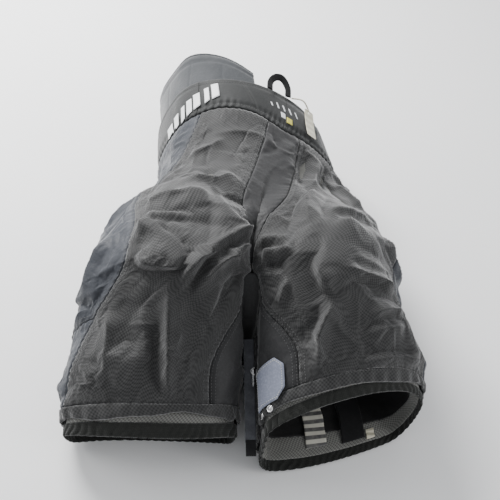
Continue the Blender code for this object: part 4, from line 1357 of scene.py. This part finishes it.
def make_kidney_pad():
    obj, grid, normals = strip(
        "padded_back", "pad_cover", kidney_place, 330, 40, 0.0070, 0.0014, shape=quilting, folds=False,
        inner_puff=0.001, lean=kidney_lean,
    )
    settle(obj, ("kidney_pad",))
    rim, rim_normals = edge_line(grid, normals, "t", 0.0)
    path = smooth_line(rim[::3] - rim_normals[::3] * 0.0010, 240)
    path[:, 2] = np.maximum(path[:, 2], BINDING_RADIUS + LOWEST)
    settle(tube("padded_back_binding", path, BINDING_RADIUS, 3, "pad_cover"))


make_waistband()
make_kidney_pad()


# ---------------------------------------------------------------- linings and what is sewn to them
def lining_depth(side, v, c):
    """How deep the lining lies: under the foam and over the pads, and close to the shell elsewhere."""
    thigh = ease((c + 0.02) / 0.10) * ease((0.56 - c) / 0.08) * ease((v - 0.70) / 0.10)
    hip = ease((c - 0.26) / 0.09) * ease((0.72 - c) / 0.09) * ease((v - 0.16) / 0.10)
    tail = ease((c - 0.80) / 0.08) * ease((v - 0.34) / 0.10)
    trunk = 0.0046 + 0.0095 * np.maximum(hip, tail) * ease((1.0 - v) / 0.10)
    hem = ease((v - 1.80) / 0.20)
    return np.maximum(lerp(np.maximum(lerp(0.0046, 0.0168, thigh), trunk), 0.0046, hem), 0.0044)


def lining_waves(points, normals):
    flat = points.reshape(-1, 3)
    height = 0.0012 * lumps(flat, 0.045, 11) + 0.0006 * lumps(flat, 0.018, 12)
    return points - normals * (height[:, None] + 0.0012).reshape(points.shape[0], points.shape[1], 1)


def lining_piece(name, slot, material, side, v_range, c_range, columns, rows, wrap=False, nodes=()):
    w, u = unit_grid(columns, rows)
    if wrap:
        w, u = w[:, :-1], u[:, :-1]
    v, c = lerp(*v_range, w), lerp(*c_range, u)
    side_grid = np.full(u.shape, float(side))
    normals = shell_normal(side_grid, v, c)
    grid = shell_point(side_grid, v, c) - normals * lining_depth(side, v, c)[..., None]
    grid = keep_in(lining_waves(grid, normals))
    faces = grid_faces(*grid.shape[:2], wrap_columns=wrap)
    faces = face_outwards(grid.reshape(-1, 3), faces, normals.reshape(-1, 3))
    obj = mesh_object(name, grid.reshape(-1, 3), faces, material, cloth_uv(grid))
    thicken(obj, 0.0008)
    settle(obj, nodes)
    declare_sheet(grid)


# Above LINING_END_V the leg lining is near-black: dark nylon, plus painted shade for the shadow deep in the
# leg. Below it, the pale mesh lining keeps its own colour down to the hem.
LINING_END_V = 1.852
MESH_LINING_V = (1.850, 2.035)


def make_linings():
    trunk = ((0.03, 1.0), (0.0, 1.0), 90, 60)
    leg = ((1.0, LINING_END_V), (-1, 1), 150, 44, True)
    hem = (MESH_LINING_V, (-1, 1), 150, 14, True)
    slot = "liner_fabric"
    for side, label in SIDE_NAME.items():
        lining_piece(f"trunk_lining_{label}", slot, slot, side, *trunk)
        # Leg lining: near-black, partly dark nylon and partly painted shade, as the inside of the leg lies in
        # shadow.
        lining_piece(f"lining_{label}", slot, "dark_nylon_and_painted_shade", side, *leg, nodes=(f"leg_lining_{label}",))
        lining_piece(f"mesh_lining_{label}", slot, "pale_mesh", side, *hem)


make_linings()


def sewn_label(name, slot, material, v_range, c_range, depth, node, wave, thick):
    """A flat strip on the left leg's lining, with a gentle wave, sewn down along its upper edge."""
    w, u = unit_grid(16, 40)
    v, c = lerp(*v_range, w), lerp(*c_range, u)
    side_grid = np.ones(u.shape)
    normals = shell_normal(side_grid, v, c)
    rise = depth + wave * ease(w * 3) * (0.5 + 0.5 * np.sin(w * 9 + u * 2))
    grid = shell_point(side_grid, v, c) - normals * rise[..., None]
    faces = face_outwards(grid.reshape(-1, 3), grid_faces(*grid.shape[:2]), normals.reshape(-1, 3))
    obj = mesh_object(name, grid.reshape(-1, 3), faces, material, cloth_uv(grid))
    thicken(obj, thick)
    settle(obj, (node,))
    declare_sheet(grid)
    sew(grid, -normals, "t", (0.0020,), "pale_thread", pitch=0.0024)


# Name, slot, material, rows, columns, depth, node, wave and thickness
LABELS = (
    ("label_long", "label", "label", (1.62, 1.97), (0.83, 0.88), 0.0072, "leg_label_left", 0.0016, 0.0005),
    ("strap_inner", "zip_fabric", "webbing", (1.45, 1.99), (0.735, 0.793), 0.0072, "leg_strap_left",
     0.003, 0.0012),
    ("label_care", "label", "care_label", (1.92, 2.02), (0.708, 0.730), 0.0095, "care_label_left",
     0.0015, 0.0004),
)
for label_row in LABELS:
    sewn_label(*label_row)

tongue_place = centre_span((0.012, 0.40), 0.060, depth=0.0046)
tongue, tongue_grid, _ = cloth_panel(
    "tongue", "nylon_fabric", tongue_place, FINE, "", thick=0.0012, folds=False
)
settle(tongue, ("fly_tongue",))
declare_sheet(tongue_grid)


# ---------------------------------------------------------------- zips, tab and flap
TAPE_WIDTH = 0.026
TOOTH_PITCH = 0.0016


def flat_cloth(name, material, origin, axis_u, axis_w, normal, size, cells, thick, wave, nodes):
    """A flat strip of cloth in a plane, with slight waves; size is its width along u and length along w."""
    w, u = np.meshgrid(np.linspace(0, 1, cells[1] + 1), np.linspace(-0.5, 0.5, cells[0] + 1), indexing="ij")
    grid = origin + axis_u * (u * size[0])[..., None] + axis_w * (w * size[1])[..., None]
    swell = wave * (np.sin(w * size[1] * 260 + u * 2) + 0.6 * np.sin(w * size[1] * 590 + 1) * np.sin(u * 3.1))
    grid = grid + normal * swell[..., None]
    normals = np.broadcast_to(normal, grid.shape)
    faces = face_outwards(grid.reshape(-1, 3), grid_faces(*grid.shape[:2]), normals.reshape(-1, 3))
    obj = mesh_object(name, grid.reshape(-1, 3), faces, material, cloth_uv(grid))
    thicken(obj, thick, offset=0)
    settle(obj, nodes)
    return obj, grid, np.array(normals)


def rounded_block(size, level=2):
    """Vertices and faces of a rounded block of this size: a cube, smoothed."""
    bm = bmesh.new()
    bmesh.ops.create_cube(bm, size=1.0)
    bmesh.ops.bevel(bm, geom=bm.edges[:], offset=0.28, segments=level, affect="EDGES")
    points = np.array([vert.co[:] for vert in bm.verts]) * np.array(size)
    faces = [tuple(vert.index for vert in face.verts) for face in bm.faces]
    bm.free()
    return points, faces


def make_zips():
    tooth_points, tooth_faces = rounded_block((0.0010, 0.0032, 0.0018))
    for side, label in SIDE_NAME.items():
        origin, down, across, out, length = zip_frame(side, 0)
        base = origin - out * 0.0033 - down * 0.003
        tape, grid, normals = flat_cloth(
            f"zip_band_{label}",
            "webbing",
            base,
            across,
            down,
            out,
            (TAPE_WIDTH, length + 0.006),
            (22, 90),
            0.0008,
            0.00015,
            (f"zip_tape_{label}",),
        )
        declare_sheet(grid)
        sew(grid, normals, "l", (0.0022,), "dark_thread")
        sew(grid, normals, "r", (0.0022,), "dark_thread")
        count = int((length - 0.008) / TOOTH_PITCH)
        points, faces = [], []
        for n in range(count):
            sign = 1 if n % 2 else -1
            centre = origin + down * (0.0045 + n * TOOTH_PITCH) + across * (sign * 0.0011) - out * 0.0013
            local = tooth_points[:, :1] * down + tooth_points[:, 1:2] * across + tooth_points[:, 2:] * out
            faces += [tuple(len(tooth_points) * n + k for k in face) for face in tooth_faces]
            points.append(centre + local)
        teeth = mesh_object(f"zip_teeth_{label}", np.concatenate(points), faces, "zip_teeth")
        settle(teeth, (f"zip_chain_{label}",))


make_zips()

TAB_V = (1.64, 1.94)
TAB_C = (-0.28, 0.025)


def tab_corner(u, w):
    return (TAB_C[1] - TAB_C[0]) * 0.16 * np.clip(np.abs(2 * w - 1) - 0.55, 0, 1) * ease(4 * u - 3)


def make_tab():
    def place(u, w):
        edge = np.minimum(np.minimum(u, 1 - u) * 5, np.minimum(w, 1 - w) * 7)
        swell = 0.0006 * ease(edge) + 0.0003 * np.sin(u * 9) * np.sin(w * 7)
        return 1, lerp(*TAB_V, w), lerp(*TAB_C, u) - tab_corner(u, w), -0.0042 - swell

    obj, grid, normals = cloth_panel(
        "closing_tab", "tab_fabric", place, 0.0015, thick=0.0018, folds=False, groove=0.0006, puckers=0.0001
    )
    settle(obj, ("hem_tab_left",), "tab")
    declare_sheet(grid)
    return grid, normals


tab_grid, tab_normals = make_tab()


def stitch_piece(name, kind, rows, body):
    """A separate piece of stitching, for a part that moves on its own body."""
    kept = dict(STITCHES)
    STITCHES.clear()
    for grid, normals, edge, inset in rows:
        sew(grid, normals, edge, (inset,), kind, pitch=0.0028)
    parts = STITCHES.pop(kind)
    STITCHES.clear()
    STITCHES.update(kept)
    make_thread(name, kind, parts, body)


stitch_piece(
    "stitching_tab",
    "pale_thread",
    [(tab_grid, tab_normals, edge, 0.0030) for edge in "lrtb"],
    "tab",
)

FLAP = (0.124, 0.0130, 0.0014)
FLAP_START = 0.010
STRAP = (0.016, 0.0120, 0.0016)


def make_flap():
    """The nylon flap beside the left zip: a folded strip that stands out of the seam and ends in webbing."""
    origin, down, across, out, _ = zip_frame(1, 0)
    base = origin - across * 0.0105 + out * 0.0016
    flap, grid, normals = flat_cloth(
        "zip_flap",
        "tab_nylon",
        base + out * (FLAP[1] / 2) + down * FLAP_START,
        out,
        down,
        -across,
        (FLAP[1], FLAP[0]),
        (12, 80),
        FLAP[2],
        0.0006,
        ("zip_flap_left",),
    )
    declare_sheet(grid)
    sew(grid, normals, "l", (0.0018,), "dark_thread")
    sew(grid, normals, "r", (0.0018,), "dark_thread")
    pull, pull_grid, _ = flat_cloth(
        "zip_flap_end",
        "webbing",
        base + out * (FLAP[1] / 2) + down * (FLAP_START + FLAP[0] - 0.003),
        out,
        down,
        -across,
        (STRAP[1], STRAP[0] + 0.003),
        (10, 14),
        STRAP[2] + 0.0006,
        0.0001,
        ("hem_strap_left",),
    )
    declare_sheet(pull_grid)


# Radius and height of a snap's cap, from its middle to its rolled rim
CAP_PROFILE = (
    (0.0, 0.0016), (0.0016, 0.0015), (0.0026, 0.0009), (0.0031, 0.0007), (0.0036, 0.0011), (0.0042, 0.0009),
    (0.0044, 0.0),
)
SNAP_V = 1.974
SNAP_COLUMNS = (-0.24, -0.09)


def snap_caps():
    """A domed cap with a rolled rim on each snap."""
    for number, column in enumerate(SNAP_COLUMNS, start=1):
        origin, across, along, out = surface_frame(1, SNAP_V, column, -0.0012)
        turns = np.linspace(0, 2 * np.pi, 33)[:-1]
        spokes = across * np.cos(turns)[:, None] + along * np.sin(turns)[:, None]
        rings = [origin + out * height + spokes * radius for radius, height in CAP_PROFILE]
        points = np.concatenate(rings)
        faces = grid_faces(len(CAP_PROFILE), len(turns), wrap_columns=True)
        faces = face_outwards(points, faces, np.broadcast_to(out, points.shape))
        cap = mesh_object(f"snap_cap_{number}", points, faces, "zip_metal")
        mend(cap, weld=True)
        settle(cap, (f"hem_snap_left_{number}",))


make_flap()
snap_caps()

landing_place = span(1, (1.69, 1.90), (-0.14, -0.005), -0.0016)
landing, landing_grid, _ = cloth_panel(
    "tab_landing", "webbing", landing_place, 0.0018, "", thick=0.0010, folds=False
)
settle(landing, ("tab_landing_left",))
declare_sheet(landing_grid)


# ---------------------------------------------------------------- plain printed marks on the band
def make_marks():
    points, faces = {}, {}
    marks = []
    for n in range(7):
        c = 0.272 + n * 0.040
        top = lerp(0.030, 0.160, n / 7)
        wide = (0.030, 0.020, 0.032, 0.028, 0.020, 0.032, 0.026)[n]
        low = top + 0.082
        upper = ((top + 0.010, c), (top + 0.016, c + wide))
        lower = ((low + 0.016, c + wide - 0.010), (low, c - 0.010))
        marks.append((-1, "print_white", (*upper, *lower)))
    for n in range(5):
        c = -0.070 + n * 0.026
        tick = ((0.080, c), (0.080, c + 0.006), (0.108, c + 0.016), (0.108, c + 0.010))
        marks.append((0, "print_white", tick))
    marks.append((0, "print_white", ((0.122, -0.022), (0.122, -0.004), (0.150, 0.001), (0.150, -0.017))))
    marks.append((0, "print_yellow", ((0.135, 0.004), (0.135, 0.026), (0.165, 0.028), (0.165, 0.006))))
    for side, material, corners in marks:
        s = np.linspace(0, 1, 9)
        w, u = np.meshgrid(s, s, indexing="ij")
        corner = np.array(corners, float)
        across = u[..., None]
        upper_edge, lower_edge = lerp(corner[0], corner[1], across), lerp(corner[3], corner[2], across)
        both = lerp(upper_edge, lower_edge, w[..., None])
        v, c = both[..., 0], both[..., 1]
        sides = np.where(c < 0, -1.0, 1.0) if side == 0 else np.full(c.shape, float(side))
        c = np.abs(c)
        base = shell_point(sides, v, c)
        out = shell_normal(sides, v, c)
        share = v / band_seam(sides, c)
        full = (1 - np.abs(2 * share - 1) ** 3.2) ** 0.8
        proud = 0.0018 * full + 0.0009
        grid = (base + out * proud[..., None]).reshape(-1, 3)
        cell = face_outwards(grid, grid_faces(9, 9), out.reshape(-1, 3))
        start = sum(len(p) for p in points.get(material, []))
        points.setdefault(material, []).append(grid)
        faces.setdefault(material, []).append(cell + start)
    for material in points:
        all_points, all_faces = np.concatenate(points[material]), np.concatenate(faces[material])
        obj = mesh_object(f"mark_{material}", all_points, all_faces, material)
        thicken(obj, 0.0004)
        settle(obj)


make_marks()

# ---------------------------------------------------------------- CAD nodes that stay
CAD_LOOKS = {
    "thigh_guard": "guard_plastic",
    "thigh_foam": "foam",
    "hip_pad": "foam",
    "tailbone_pad": "foam",
    "zip_slider": "zip_metal",
    "zip_bail": "zip_metal",
    "zip_pull": "zip_metal",
}
for node_name, node in NODES.items():
    for start, look in CAD_LOOKS.items():
        if node_name.startswith(start):
            node.data.materials.clear()
            node.data.materials.append(MATERIALS[look])

make_stitches()


# ---------------------------------------------------------------- floor and light
def make_floor():
    mesh = bpy.data.meshes.new("floor")
    half = 6.0
    corners = [(-half, -half, 0), (half, -half, 0), (half, half, 0), (-half, half, 0)]
    mesh.from_pydata(corners, [], [(0, 1, 2, 3)])
    floor = bpy.data.objects.new("floor", mesh)
    floor.location.z = -0.0006
    s = Shader("floor_look", (0.96, 0.96, 0.96), 0.7)
    s.tint(s.ramp(s.noise(3.0, 2.0), 0.3, 0.7, 0.0, 0.1), (0.93, 0.93, 0.93))
    mesh.materials.append(s.done())
    bpy.context.scene.collection.objects.link(floor)


def area_light(name, place, aim, size, power, colour=(1, 1, 1)):
    data = bpy.data.lights.new(name, "AREA")
    data.shape = "RECTANGLE"
    data.size, data.size_y = size
    data.energy = power
    data.color = colour
    light = bpy.data.objects.new(name, data)
    light.location = place
    light.rotation_mode = "QUATERNION"
    light.rotation_quaternion = (Vector(place) - Vector(aim)).to_track_quat("Z", "Y")
    bpy.context.scene.collection.objects.link(light)


def make_light():
    world = bpy.data.worlds.new("studio")
    world.use_nodes = True
    world.node_tree.nodes["Background"].inputs["Color"].default_value = (0.95, 0.97, 1.0, 1)
    world.node_tree.nodes["Background"].inputs["Strength"].default_value = 0.64
    bpy.context.scene.world = world
    area_light("key", (-0.60, 0.92, 0.95), (0, 0.05, 0.05), (0.8, 0.5), 45.0)
    area_light("left_side", (1.7, -0.7, 0.9), (0, 0, 0.05), (0.8, 0.8), 12.0)
    area_light("right_side", (-1.8, 0.3, 1.0), (0, 0, 0.05), (0.8, 0.8), 12.0)


make_floor()
make_light()
